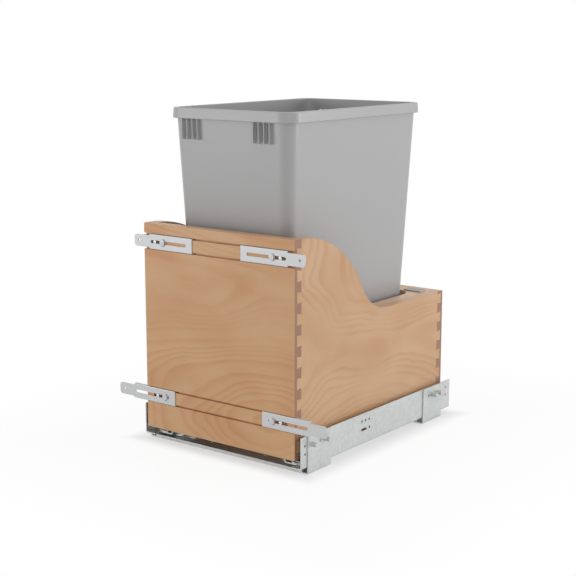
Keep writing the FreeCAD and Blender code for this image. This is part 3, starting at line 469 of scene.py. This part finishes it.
@dataclass(frozen=True)
class Plated:
    """Bright plated hardware, turned or pressed, with fine scratches."""

    name: str
    colour: Colour
    roughness: float
    metallic: float = 0.9
    cloud_waves: float = 260.0
    cloud_share: float = 0.18
    cloud_rough: float = 0.1
    scratch_waves: Waves = (300.0, 2600.0, 2600.0)
    scratch_rough: float = 0.16
    relief: float = 0.004 * MM

    @functools.cache
    def material(self) -> bpy.types.Material:
        """The finish as a material."""
        graph = Graph(bpy.data.materials.new(self.name))
        place = graph.place()
        cloud = graph.noise(graph.vector(*place), self.cloud_waves, 3.0)
        scratch = graph.streaks(place, self.scratch_waves, 2.0)
        return graph.show(graph.principled(
            base_color=graph.tint(self.colour, cloud.swing(self.cloud_share) + 1.0),
            metallic=self.metallic,
            roughness=(scratch.swing(self.scratch_rough) + cloud.swing(self.cloud_rough)
                       + self.roughness),
            normal=graph.bump(scratch, self.relief)))


@dataclass(frozen=True)
class MouldedPlastic:
    """Injection-moulded plastic: a fine satin texture with faint flow marks."""

    name: str
    colour: Colour
    roughness: float = 0.42
    flow: float = 0.03
    flow_waves: Waves = (7.0, 7.0, 2.2)
    flow_rough: float = 0.08
    texture_waves: float = 2400.0
    texture_rough: float = 0.05
    sheen: float = 0.30
    sheen_rough: float = 0.24
    relief: float = 0.006 * MM

    @functools.cache
    def material(self) -> bpy.types.Material:
        """The finish as a material."""
        graph = Graph(bpy.data.materials.new(self.name))
        place = graph.place()
        texture = graph.noise(graph.vector(*place), self.texture_waves, 1.0)
        flow = graph.streaks(place, self.flow_waves, 2.0)
        return graph.show(graph.principled(
            base_color=graph.tint(self.colour, flow.swing(self.flow) + 1.0),
            roughness=flow.swing(self.flow_rough) + texture.swing(self.texture_rough) + self.roughness,
            coat_weight=self.sheen, coat_roughness=self.sheen_rough,
            normal=graph.bump(texture, self.relief)))


WHITE_ZINC = SheetSteel(Plating.WHITE_ZINC)
GALVANISED = SheetSteel(Plating.GALVANISED)
SLIDE_STEEL = SheetSteel(Plating.ROLLED)
BRIGHT_ZINC = Plated("bright_zinc", (0.70, 0.72, 0.75), 0.26)
SATIN_METAL = Plated("satin_metal", (0.40, 0.39, 0.385), 0.45, 0.6)
BALL_STEEL = Plated("ball_steel", (0.78, 0.79, 0.80), 0.12, 1.0)
GREY_PLASTIC = MouldedPlastic("grey_plastic", (0.50, 0.50, 0.502))
# Black plastic, which is also painted shade in the soft-close trays.
BLACK_PLASTIC_AND_SHADE = MouldedPlastic("black_plastic", (0.028, 0.028, 0.031), 0.5, 0.2)


# --------------------------------------------------------------------------------------- modelling
class Workpiece:
    """A piece on the bench: it starts as a primitive and is shaped by hand in edit mode."""

    def __init__(self, name: str) -> None:
        """Takes the object that was just added as the piece.

        Args:
            name: the piece's name.
        """
        self.object = bpy.context.active_object
        self.object.name = name
        self.object.data.name = name
        bpy.ops.object.transform_apply(location=True, rotation=True, scale=True)

    @classmethod
    def block(cls, name: str, low: Vector, high: Vector) -> "Workpiece":
        """A rectangular blank.

        Args:
            name: the piece's name.
            low: its lowest corner.
            high: its highest corner.

        Returns:
            The piece.
        """
        bpy.ops.object.select_all(action="DESELECT")
        bpy.ops.mesh.primitive_cube_add(size=1.0, location=(low + high) / 2, scale=high - low)
        return cls(name)

    @classmethod
    def turned(cls, name: str, start: Vector, end: Vector, radius: float, sides: int) -> "Workpiece":
        """A round blank.

        Args:
            name: the piece's name.
            start: the middle of one end.
            end: the middle of the other end.
            radius: the blank's radius.
            sides: the faces round it.

        Returns:
            The piece.
        """
        bpy.ops.object.select_all(action="DESELECT")
        turn = (end - start).to_track_quat("Z", "Y").to_euler()
        bpy.ops.mesh.primitive_cylinder_add(vertices=sides, radius=radius, depth=(end - start).length,
                                            location=(start + end) / 2, rotation=turn)
        return cls(name)

    def _pick(self, others: Iterable["Workpiece"] = ()) -> None:
        """Selects this piece, alone or with others, and makes it the active one.

        Args:
            others: pieces to select with it.
        """
        bpy.ops.object.select_all(action="DESELECT")
        for piece in (*others, self):
            piece.object.select_set(True)
        bpy.context.view_layer.objects.active = self.object

    def _edit(self, mode: str) -> bmesh.types.BMesh:
        """Opens the piece in edit mode with nothing selected.

        Args:
            mode: what is to be selected, FACE or EDGE.

        Returns:
            Its mesh.
        """
        self._pick()
        bpy.ops.object.mode_set(mode="EDIT")
        bpy.ops.mesh.select_mode(type=mode)
        bpy.ops.mesh.select_all(action="DESELECT")
        return bmesh.from_edit_mesh(self.object.data)

    def faces(self, test: Test) -> "Workpiece":
        """Opens the piece and selects some of its faces.

        Args:
            test: says of a face's middle and normal whether the face is one of them.

        Returns:
            The piece.
        """
        mesh = self._edit("FACE")
        for face in mesh.faces:
            face.select_set(test(face.calc_center_median(), face.normal))
        bmesh.update_edit_mesh(self.object.data)
        return self

    def edges(self, test: Test) -> "Workpiece":
        """Opens the piece and selects some of its edges.

        Args:
            test: says of an edge's middle and direction whether the edge is one of them.

        Returns:
            The piece.
        """
        mesh = self._edit("EDGE")
        for edge in mesh.edges:
            first, second = (vertex.co for vertex in edge.verts)
            edge.select_set(test((first + second) / 2, (second - first).normalized()))
        bmesh.update_edit_mesh(self.object.data)
        return self

    def whole(self) -> "Workpiece":
        """Opens the piece and selects all of it."""
        return self.faces(lambda middle, normal: True)

    def bevel(self, radius: float, steps: int) -> "Workpiece":
        """Rounds the selected edges in that many steps, and leaves edit mode."""
        bpy.ops.mesh.bevel(offset=radius, segments=steps, affect="EDGES", clamp_overlap=True)
        return self.close()

    def inset(self, thickness: float) -> "Workpiece":
        """Insets the selected faces."""
        bpy.ops.mesh.inset(thickness=thickness)
        return self

    def extrude(self, move: Vector) -> "Workpiece":
        """Extrudes the selected faces by that move."""
        bpy.ops.mesh.extrude_region_move(TRANSFORM_OT_translate={"value": move})
        return self

    def move(self, move: Vector) -> "Workpiece":
        """Moves the selection."""
        bpy.ops.transform.translate(value=move)
        return self

    def resize(self, scale: Vector, centre: Vector) -> "Workpiece":
        """Scales the selection about a point."""
        bpy.ops.transform.resize(value=scale, center_override=centre)
        return self

    def delete(self) -> "Workpiece":
        """Deletes the selected faces, and leaves edit mode."""
        bpy.ops.mesh.delete(type="FACE")
        return self.close()

    def close(self) -> "Workpiece":
        """Leaves edit mode."""
        bpy.ops.object.mode_set(mode="OBJECT")
        return self

    def modify(self, kind: str, **settings: Any) -> "Workpiece":
        """Adds a modifier and applies it.

        Args:
            kind: the modifier's type.
            settings: its properties.

        Returns:
            The piece.
        """
        self._pick()
        modifier = self.object.modifiers.new(kind.title(), kind)
        for name, value in settings.items():
            setattr(modifier, name, value)
        bpy.ops.object.modifier_apply(modifier=modifier.name)
        return self

    def cut(self, cutter: "Workpiece") -> "Workpiece":
        """Cuts another piece out of this one.

        Args:
            cutter: the piece to cut with, which is used up.

        Returns:
            The piece.
        """
        self.modify("BOOLEAN", operation="DIFFERENCE", object=cutter.object, solver="EXACT")
        bpy.data.objects.remove(cutter.object)
        return self

    def copies(self, places: Iterable[Matrix]) -> list["Workpiece"]:
        """Copies the piece.

        Args:
            places: how each copy is moved.

        Returns:
            The copies, each with its own mesh.
        """
        made = []
        for matrix in places:
            self._pick()
            bpy.ops.object.duplicate()
            copy = Workpiece(self.object.name)
            copy.object.data.transform(matrix)
            made.append(copy)
        return made

    def join(self, others: Iterable["Workpiece"]) -> "Workpiece":
        """Joins other pieces into this one."""
        self._pick(others)
        bpy.ops.object.join()
        return self

    def smooth(self, angle: float = 30.0) -> "Workpiece":
        """Shades the piece smooth where faces meet at less than that angle, in degrees."""
        self._pick()
        bpy.ops.object.shade_smooth_by_angle(angle=math.radians(angle))
        return self

    def fit(self, finish: Finish, slot: str, body: str, *nodes: str) -> None:
        """Finishes the piece and puts it on its body in place of the frame's nodes.

        Args:
            finish: its surface.
            slot: the record's material slot; not used.
            body: the body that it moves with.
            nodes: the nodes that it stands for.
        """
        self.smooth()
        self.object.data.materials.clear()
        self.object.data.materials.append(finish.material())
        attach(self.object, body)
        if nodes:
            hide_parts(*nodes)
        LOG.info("modelled %s on %s, %d faces", self.object.name, body, len(self.object.data.polygons))


def dress(finish: Finish, *nodes: str) -> None:
    """Gives nodes of the frame a finish.

    Args:
        finish: their surface.
        nodes: their names.
    """
    for name in nodes:
        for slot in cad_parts[name].material_slots:
            slot.material = finish.material()
        LOG.info("dressed %s in %s", name, finish.material().name)


def both(name: str) -> tuple[str, str]:
    """The left and the right node of that name."""
    return f"left_{name}", f"right_{name}"


def shifts(moves: Iterable[Vector]) -> Iterable[Matrix]:
    """Those moves as matrices."""
    return (Matrix.Translation(move) for move in moves)


# ---------------------------------------------------------------------------------- sub-assemblies
BOARDS = {
    "front_panel": Maple(Grain.FRONT, 1, heart=(0.09, 0.07), second=(0.0, 0.50), squash=0.42,
                         light=(0.760, 0.455, 0.230), dark=(0.665, 0.318, 0.130)),
    "back_panel": Maple(Grain.FRONT, 2, heart=(-0.03, 0.05)),
    "right_side_board": Maple(Grain.SIDE, 3, heart=(0.10, 0.36), second=(-0.05, -0.06), squash=0.55),
    "left_side_board": Maple(Grain.SIDE, 4, heart=(0.02, 0.06)),
    # The deck's maple is a lighter copy of the others: painted light for its up-facing top.
    "deck_panel": Maple(Grain.DECK, 5, light=(0.84, 0.57, 0.37), dark=(0.75, 0.45, 0.25)),
    "bottom_panel": Maple(Grain.DECK, 6),
    "deck_cleats": Maple(Grain.RAIL, 7),
}


@dataclass
class WoodenBox:
    """The dovetailed box, its deck and cleats, and the small blank plate on the deck."""

    plate_border: float = 1.6 * MM
    plate_sunk: float = 0.35 * MM
    plate_corner: float = 3.0 * MM
    plate_edge: float = 0.3 * MM

    def build(self) -> None:
        """Dresses the boards and models the plate."""
        for node, wood in BOARDS.items():
            dress(wood, node)
        self._plate()

    def _plate(self) -> None:
        """The blank plate: rounded corners, an eased edge and a slightly sunk field."""
        low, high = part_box("blank_plate")
        plate = Workpiece.block("deck_plate", low, high)
        plate.edges(lambda middle, along: abs(along.z) > ALIGNED).bevel(self.plate_corner, steps=6)
        plate.faces(lambda middle, normal: normal.z > ALIGNED).inset(self.plate_border)
        plate.extrude(Vector((0, 0, -self.plate_sunk))).close()
        plate.modify("BEVEL", width=self.plate_edge, segments=2, limit_method="ANGLE")
        plate.fit(SATIN_METAL, "satin_metal", "drawer", "blank_plate")


@dataclass
class CrossHead:
    """A pan-head screw's head with a cross recess, standing out of a surface.

    The recess and its blades are shares of the head's radius, and the crown and the sunk depth are
    shares of its height. The taper is what an arm loses of its length down to its deep end.
    """

    radius: float
    tall: float
    sides: int = 32
    crown: float = 0.62
    recess: float = 0.62
    blade: float = 0.16
    sunk: float = 0.7
    taper: float = 0.6

    def model(self, name: str, base: Vector, out: Vector) -> Workpiece:
        """Models one head.

        Args:
            name: the piece's name.
            base: the middle of the head's underside.
            out: the direction that the head faces.

        Returns:
            The head.
        """
        top = base + out * self.tall
        head = Workpiece.turned(name, base, top, self.radius, self.sides)
        head.edges(lambda middle, along: (middle - top).dot(out) > -NEAR)
        head.bevel(self.tall * self.crown, steps=5)
        across = out.orthogonal().normalized()
        for blade in (across, out.cross(across)):
            head.cut(self._blade(top, out, blade))
        return head

    def _blade(self, top: Vector, out: Vector, along: Vector) -> Workpiece:
        """A cutter for one arm of the cross, narrower at its deep end.

        Args:
            top: the middle of the head's top.
            out: the direction that the head faces.
            along: the direction of the arm.

        Returns:
            The cutter.
        """
        corner = along * (self.radius * self.recess) + out.cross(along) * (self.radius * self.blade)
        deep = top - out * (self.tall * self.sunk)
        high = top + out * self.tall
        corners = (deep - corner, high + corner, deep + corner, high - corner)
        cutter = Workpiece.block("cutter", Vector(map(min, *corners)), Vector(map(max, *corners)))
        cutter.faces(lambda middle, normal: normal.dot(out) < -ALIGNED)
        narrower = Vector((1, 1, 1)) - Vector(map(abs, along)) * self.taper
        return cutter.resize(narrower, deep).close()


@dataclass
class DoorHardware:
    """The four adjustable door brackets with their clamp screws and guide discs."""

    clear: float = 0.1 * MM
    clamp_across: float = 125 * MM
    clamp_radius: float = 3.0 * MM
    shank_radius: float = 1.9 * MM
    shank_sides: int = 12
    disc_across: float = 109 * MM
    disc_radius: float = 6.0 * MM
    disc_edge: float = 0.3 * MM
    disc_sides: int = 48
    crescent: float = 1.9 * MM
    rim: float = 0.35 * MM
    neck_radius: float = 1.7 * MM
    neck_sides: int = 16

    def build(self) -> None:
        """Dresses the brackets and models the screws and discs."""
        dress(WHITE_ZINC, *both("upper_door_bracket"), *both("lower_door_bracket"))
        self._screws()
        self._discs()

    def _seat(self) -> float:
        """Where the heads' rear faces stand, just clear of the sliding brackets."""
        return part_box("right_upper_door_bracket")[0].y - self.clear

    def _places(self, across: float, front: float) -> list[Vector]:
        """The four places of one kind of fastener, one to a bracket.

        Args:
            across: how far they stand from the unit's middle.
            front: how far forward or back they stand.

        Returns:
            The places.
        """
        boxes = (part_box("right_upper_door_bracket"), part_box("right_lower_door_bracket"))
        levels = [(low.z + high.z) / 2 for low, high in boxes]
        return [Vector((across * side, front, level)) for level in levels for side in SIDES.values()]

    def _screws(self) -> None:
        """The four clamp screws."""
        first, *others = self._places(self.clamp_across, self._seat())
        low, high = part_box("bracket_clamp_screws")
        deep = Vector((first.x, high.y, first.z))
        screw = CrossHead(self.clamp_radius, first.y - low.y).model(
            "clamp_screws", first, Vector((0, -1, 0)))
        screw.join([Workpiece.turned("shank", deep, first, self.shank_radius, self.shank_sides)])
        screw.join(screw.copies(shifts(place - first for place in others)))
        screw.fit(BRIGHT_ZINC, "bright_zinc", "drawer", "bracket_clamp_screws")

    def _discs(self) -> None:
        """The four guide discs: a flat head with a crescent of a gap along its right edge."""
        low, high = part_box("bracket_guide_discs")
        first, *others = self._places(self.disc_across, low.y)
        back = Vector((first.x, self._seat(), first.z))
        disc = Workpiece.turned("guide_discs", back, first, self.disc_radius, self.disc_sides)
        disc.edges(lambda middle, along: middle.y < low.y + NEAR).bevel(self.disc_edge, steps=2)
        disc.cut(self._crescent(back, first))
        neck_end = Vector((back.x, high.y, back.z))
        disc.join([Workpiece.turned("neck", neck_end, back, self.neck_radius, self.neck_sides)])
        disc.join(disc.copies(shifts(place - first for place in others)))
        disc.fit(WHITE_ZINC, "bright_zinc", "drawer", "bracket_guide_discs")

    def _crescent(self, back: Vector, front: Vector) -> Workpiece:
        """A cutter for the gap along a disc's right edge.

        Args:
            back: the middle of the disc's rear face.
            front: the middle of its front face.

        Returns:
            The cutter.
        """
        radius = self.disc_radius - self.rim
        proud = front + (front - back)
        moon = Workpiece.turned("moon", back, proud, radius, self.disc_sides)
        aside = Vector((-self.crescent, 0, 0))
        return moon.cut(Workpiece.turned("core", back * 2 - proud + aside, proud * 2 - back + aside,
                                         radius, self.disc_sides))


@dataclass
class SteelFrame:
    """The two side channels and the two floor brackets."""

    def build(self) -> None:
        """Dresses the sheet steel."""
        dress(GALVANISED, *both("side_channel"), "front_floor_bracket", "rear_floor_bracket")


@dataclass
class Slides:
    """The telescopic slides: members, ball cages, balls and the screws into the boards."""

    balls_in_row: int = 3
    ball_cuts: int = 4
    screw_radius: float = 2.9 * MM
    screw_tall: float = 1.4 * MM
    screw_sides: int = 24

    def build(self) -> None:
        """Dresses the members and cages and models the balls and screws."""
        for layer in ("outer", "middle", "inner"):
            dress(SLIDE_STEEL, *both(f"{layer}_slide_member"))
        for layer in ("outer", "inner"):
            dress(SLIDE_STEEL, *both(f"{layer}_ball_cage"))
            for side in SIDES:
                self._balls(side, layer)
        self._screws()

    def _balls(self, side: str, layer: str) -> None:
        """The balls of one cage, in two rows side by side.

        Args:
            side: the slide's side, left or right.
            layer: the cage, outer or inner.
        """
        node = f"{side}_{layer}_balls"
        low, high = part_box(node)
        radius = (high.z - low.z) / 2
        half = Vector((radius, radius, radius))
        ball = Workpiece.block(f"{node}_polished", low, low + half * 2).whole()
        bpy.ops.mesh.subdivide(number_cuts=self.ball_cuts)
        bpy.ops.transform.tosphere(value=1.0)
        ball.close()
        ball.object.data.transform(self._round(ball, low + half, radius))
        span = high - low - half * 2
        pitch = span.y / (self.balls_in_row - 1)
        moves = [Vector((across, pitch * number, 0)) for number in range(self.balls_in_row)
                 for across in (0, span.x)]
        ball.join(ball.copies(shifts(moves[1:])))
        ball.fit(BALL_STEEL, "ball_steel", f"{side}_{layer}_cage", node)

    @staticmethod
    def _round(ball: Workpiece, centre: Vector, radius: float) -> Matrix:
        """The scaling that gives a rounded block its size.

        Args:
            ball: the rounded block.
            centre: its centre.
            radius: the radius that it is to have.

        Returns:
            The scaling.
        """
        reach = max((vertex.co - centre).length for vertex in ball.object.data.vertices)
        return Matrix.Translation(centre) @ Matrix.Scale(radius / reach, 4) @ Matrix.Translation(-centre)

    def _screws(self) -> None:
        """The pan-head screws up through the inner members into the side boards."""
        low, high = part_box("runner_screws")
        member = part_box("right_inner_slide_member")
        middle = (member[0].x + member[1].x) / 2
        reach = high.x - middle
        seat = low.z + self.screw_tall
        first, last = (Vector((middle, back, seat)) for back in (low.y + reach, high.y - reach))
        screw = CrossHead(self.screw_radius, self.screw_tall, self.screw_sides).model(
            "runner_screws_turned", first, Vector((0, 0, -1)))
        across = Vector((2 * middle, 0, 0))
        screw.join(screw.copies(shifts((last - first, -across, last - first - across))))
        screw.fit(BRIGHT_ZINC, "bright_zinc", "drawer", "runner_screws")


@dataclass
class SoftClose:
    """The soft-close units in the channels' trays, their catches and the trigger pins."""

    def build(self) -> None:
        """Dresses the housings, catches and pins."""
        # The housings and catches are black plastic, and their black also stands in as painted shade for
        # the shadow in the tray under the box.
        dress(BLACK_PLASTIC_AND_SHADE, *both("soft_close_housing"), *both("soft_close_catch"))
        dress(BRIGHT_ZINC, "soft_close_trigger_pins")


@dataclass
class WasteBin:
    """The moulded bin: tapered walls, a turned-down rim, and fins and slots under it.

    Heights of the fins and vents are measured down from the rim's top. Both stand in a group to
    each side of the front and of the rear wall.
    """

    rim_radius: float = 26 * MM
    rim_tall: float = 16.3 * MM
    rim_lean: float = 1.0 * MM
    overhang: float = 6 * MM
    wall: float = 2.5 * MM
    draft: float = 22 * MM
    foot_radius: float = 7 * MM
    edge_radius: float = 1.1 * MM
    edge_angle: float = 40.0
    fin_across: float = 70.5 * MM
    fin_shift: float = -4.9 * MM
    fin_pitch: float = 10.4 * MM
    fin_thick: float = 1.6 * MM
    fin_tall: float = 48.3 * MM
    fin_behind: float = 1.0 * MM
    fin_edge: float = 0.4 * MM
    fin_slope: float = 0.6 * MM
    fin_count: int = 4
    vent_wide: float = 6.6 * MM
    vent_low: float = 45.3 * MM
    vent_high: float = 18.3 * MM
    vent_deep: float = 14 * MM
    vent_round: float = 1.2 * MM

    def build(self) -> None:
        """Models the bin and puts it on its body."""
        low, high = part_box("trash_bin")
        skin = self._skin(low, high)
        skin.modify("SOLIDIFY", thickness=self.wall, offset=-1.0, use_even_offset=True)
        skin.modify("BEVEL", width=self.edge_radius, segments=3, limit_method="ANGLE",
                    angle_limit=math.radians(self.edge_angle))
        for vent in self._vents(low, high):
            skin.cut(vent)
        skin.join(self._fins(low, high))
        skin.fit(GREY_PLASTIC, "grey_plastic", "bin", "trash_bin")
        skin.modify("WEIGHTED_NORMAL", weight=100, keep_sharp=True)

    def _skin(self, low: Vector, high: Vector) -> Workpiece:
        """The skin that shows from above: the skirt's face, the rim's top and the cavity.

        Args:
            low: the bin's lowest corner.
            high: its highest corner.

        Returns:
            The skin, open under the skirt.
        """
        skin = Workpiece.block("waste_bin", Vector((low.x, low.y, high.z - self.rim_tall)), high)
        skin.edges(lambda middle, along: abs(along.z) > ALIGNED).bevel(self.rim_radius, steps=10)
        skin.faces(lambda middle, normal: normal.z < -ALIGNED).delete()
        centre, half = (low + high) / 2, (high - low) / 2
        lean = Vector((1 - self.rim_lean / half.x, 1 - self.rim_lean / half.y, 1))
        skin.faces(lambda middle, normal: normal.z > ALIGNED).resize(lean, centre)
        skin.inset(self.overhang + self.wall - self.rim_lean)
        floor = low.z + self.wall
        skin.extrude(Vector((0, 0, floor - high.z)))
        inner = Vector((half.x, half.y, 0)) - Vector((1, 1, 0)) * (self.overhang + self.wall)
        taper = Vector((1 - self.draft / inner.x, 1 - self.draft / inner.y, 1))
        skin.resize(taper, Vector((centre.x, centre.y, floor))).close()
        skin.edges(lambda middle, along: middle.z < floor + NEAR)
        return skin.bevel(self.foot_radius, steps=4)

    def _fins(self, low: Vector, high: Vector) -> list[Workpiece]:
        """The fins that stand on the front and rear walls, from the rim's underside downwards.

        Args:
            low: the bin's lowest corner.
            high: its highest corner.

        Returns:
            The front wall's fins as one piece and the rear wall's as another.
        """
        across = self._across(self.fin_count)
        half = Vector((self.fin_thick / 2, 0, 0))
        root = self.overhang + self.wall / 2
        first = Vector((across[0], low.y + self.fin_behind, high.z - self.fin_tall)) - half
        last = Vector((across[0], low.y + root, high.z - self.wall / 2)) + half
        fin = Workpiece.block("fin", first, last)
        fin.edges(lambda middle, along: abs(along.z) > ALIGNED and middle.y < first.y + NEAR)
        fin.bevel(self.fin_edge, steps=2)
        fin.faces(lambda middle, normal: normal.z < -ALIGNED)
        fin.move(Vector((0, self.fin_slope, 0))).close()
        fin.join(fin.copies(shifts(Vector((place - across[0], 0, 0)) for place in across[1:])))
        return [fin, *self._rear([fin], low, high)]

    def _across(self, count: int) -> list[float]:
        """Where so many fins or vents of each group stand, sideways."""
        return [self.fin_shift + self.fin_across * side + self.fin_pitch * (number - (count - 1) / 2)
                for side in sorted(SIDES.values()) for number in range(count)]

    def _vents(self, low: Vector, high: Vector) -> list[Workpiece]:
        """Cutters for the slots between the fins, through the front and the rear wall.

        Args:
            low: the bin's lowest corner.
            high: its highest corner.

        Returns:
            The cutters.
        """
        half = Vector((self.vent_wide / 2, 0, 0))
        front = []
        for place in self._across(self.fin_count - 1):
            first = Vector((place, low.y, high.z - self.vent_low)) - half
            last = Vector((place, low.y + self.vent_deep, high.z - self.vent_high)) + half
            vent = Workpiece.block("vent", first, last)
            vent.edges(lambda middle, along: abs(along.y) > ALIGNED)
            front.append(vent.bevel(self.vent_round, steps=3))
        return [*front, *self._rear(front, low, high)]

    @staticmethod
    def _rear(front: Sequence[Workpiece], low: Vector, high: Vector) -> list[Workpiece]:
        """Makes twins at the rear wall.

        Args:
            front: pieces made for the front wall.
            low: the bin's lowest corner.
            high: its highest corner.

        Returns:
            Their twins, with faces that point outwards.
        """
        flip = Matrix.Translation((0, low.y + high.y, 0)) @ Matrix.Scale(-1, 4, Vector((0, 1, 0)))
        twins = [twin for piece in front for twin in piece.copies([flip])]
        for twin in twins:
            twin.whole()
            bpy.ops.mesh.flip_normals()
            twin.close()
        return twins


@dataclass(frozen=True)
class Lamp:
    """A square soft lamp that faces the unit's middle."""

    name: str
    place: Vector
    size: float
    power: float

    def build(self) -> None:
        """Hangs the lamp."""
        low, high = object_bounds()
        light = bpy.data.lights.new(self.name, "AREA")
        light.size = self.size
        light.energy = self.power
        lamp = bpy.data.objects.new(self.name, light)
        lamp.location = self.place
        lamp.rotation_euler = ((low + high) / 2 - self.place).to_track_quat("-Z", "Y").to_euler()
        bpy.context.scene.collection.objects.link(lamp)


@dataclass
class Studio:
    """A white room: a pale floor, soft lamps and the photograph's camera."""

    camera_place: Vector = Vector((1283.7, -1712.95, 656.3)) * MM
    camera_target: Vector = Vector((137.4, -215.55, 287.1)) * MM
    lens: float = 82.0
    sensor: float = 36.0
    view_reach: float = 50.0
    floor_half: float = 6.0
    floor_grey: float = 0.86
    floor_roughness: float = 0.9
    # Painted shade on the floor: the white share falls off over shadow_reach towards the unit and drops
    # further at the steel frame's footprint.
    shadow_reach: float = 0.45
    shadow_share: float = 0.07
    shelter_edge: Span = (-10 * MM, 30 * MM)
    shelter_share: float = 0.36
    ambient: float = 0.36
    lamps: tuple[Lamp, ...] = (
        Lamp("top_lamp", Vector((0.1, 0.2, 2.3)), 1.4, 7.0),
        Lamp("right_lamp", Vector((2.0, 1.4, 0.62)), 0.9, 15.6),
        Lamp("front_lamp", Vector((-1.3, -1.9, 0.62)), 0.9, 8.6),
        Lamp("fill_lamp", Vector((1.6, -1.6, 0.62)), 0.9, 3.4),
    )

    def build(self) -> None:
        """Makes the floor, the world, the lamps and the camera."""
        self._floor()
        self._world()
        for lamp in self.lamps:
            lamp.build()
        self._camera()
        bpy.context.scene.view_settings.view_transform = "Standard"

    def _floor(self) -> None:
        """The floor: white by emission away from the unit; near it and below, a lowered white share lets
        the lit floor's own shade show, with painted shade from that lowering.
        """
        bpy.ops.object.select_all(action="DESELECT")
        bpy.ops.mesh.primitive_plane_add(size=2 * self.floor_half)
        floor = bpy.context.active_object
        floor.name = "studio_floor"
        graph = Graph(bpy.data.materials.new("studio_white"))
        lit = graph.principled(base_color=(*(self.floor_grey,) * 3, 1.0), roughness=self.floor_roughness)
        white = graph.add("ShaderNodeEmission", sockets={"Color": WHITE, "Strength": 1.0})
        away = self._away(graph)
        # Painted shade: the floor's white share is lowered near and under the unit, over the lit floor's
        # real shadow.
        share = (away.ramp(0.0, self.shadow_reach) * self.shadow_share
                 + away.ramp(*self.shelter_edge) * self.shelter_share
                 + (1.0 - self.shadow_share - self.shelter_share))
        shown = graph.add("ShaderNodeMixShader", sockets={0: graph.seen() * share, 1: lit, 2: white})
        floor.data.materials.append(graph.show(shown))
        floor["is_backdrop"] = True

    @staticmethod
    def _away(graph: Graph) -> Signal:
        """How far a point of the floor lies outside the steel frame's footprint.

        Args:
            graph: the floor's nodes.

        Returns:
            The distance, below 0 inside the footprint.
        """
        x, y = graph.place("XY")
        boxes = [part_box(node) for node in ("right_side_channel", "front_floor_bracket")]
        half = max(high.x for _, high in boxes)
        front = min(low.y for low, _ in boxes)
        rear = max(high.y for _, high in boxes)
        back = (y - (front + rear) / 2).math("ABSOLUTE") - (rear - front) / 2
        return (x.math("ABSOLUTE") - half).math("MAXIMUM", back)

    def _world(self) -> None:
        """The world: white to the camera and in reflections, and a soft light elsewhere."""
        world = bpy.data.worlds.new("studio")
        bpy.context.scene.world = world
        graph = Graph(world)
        strength = graph.add("ShaderNodeMapRange", sockets={
            "Value": graph.seen(), "To Min": self.ambient, "To Max": 1.0})
        graph.show(graph.add("ShaderNodeBackground", sockets={"Color": WHITE, "Strength": strength}))

    def _camera(self) -> None:
        """The camera at the photograph's place."""
        data = bpy.data.cameras.new("camera")
        data.lens = self.lens
        data.sensor_width = self.sensor
        data.clip_end = self.view_reach
        camera = bpy.data.objects.new("camera", data)
        camera.location = self.camera_place
        aim = self.camera_target - self.camera_place
        camera.rotation_euler = aim.to_track_quat("-Z", "Y").to_euler()
        bpy.context.scene.collection.objects.link(camera)
        bpy.context.scene.camera = camera


def main() -> None:
    """Builds the sub-assemblies in order."""
    logging.basicConfig(level=logging.INFO, format="%(name)s: %(message)s")
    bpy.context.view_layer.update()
    for part in (WoodenBox(), DoorHardware(), SteelFrame(), Slides(), SoftClose(), WasteBin(), Studio()):
        LOG.info("building %s", type(part).__name__)
        part.build()


if __name__ == "__main__":
    main()
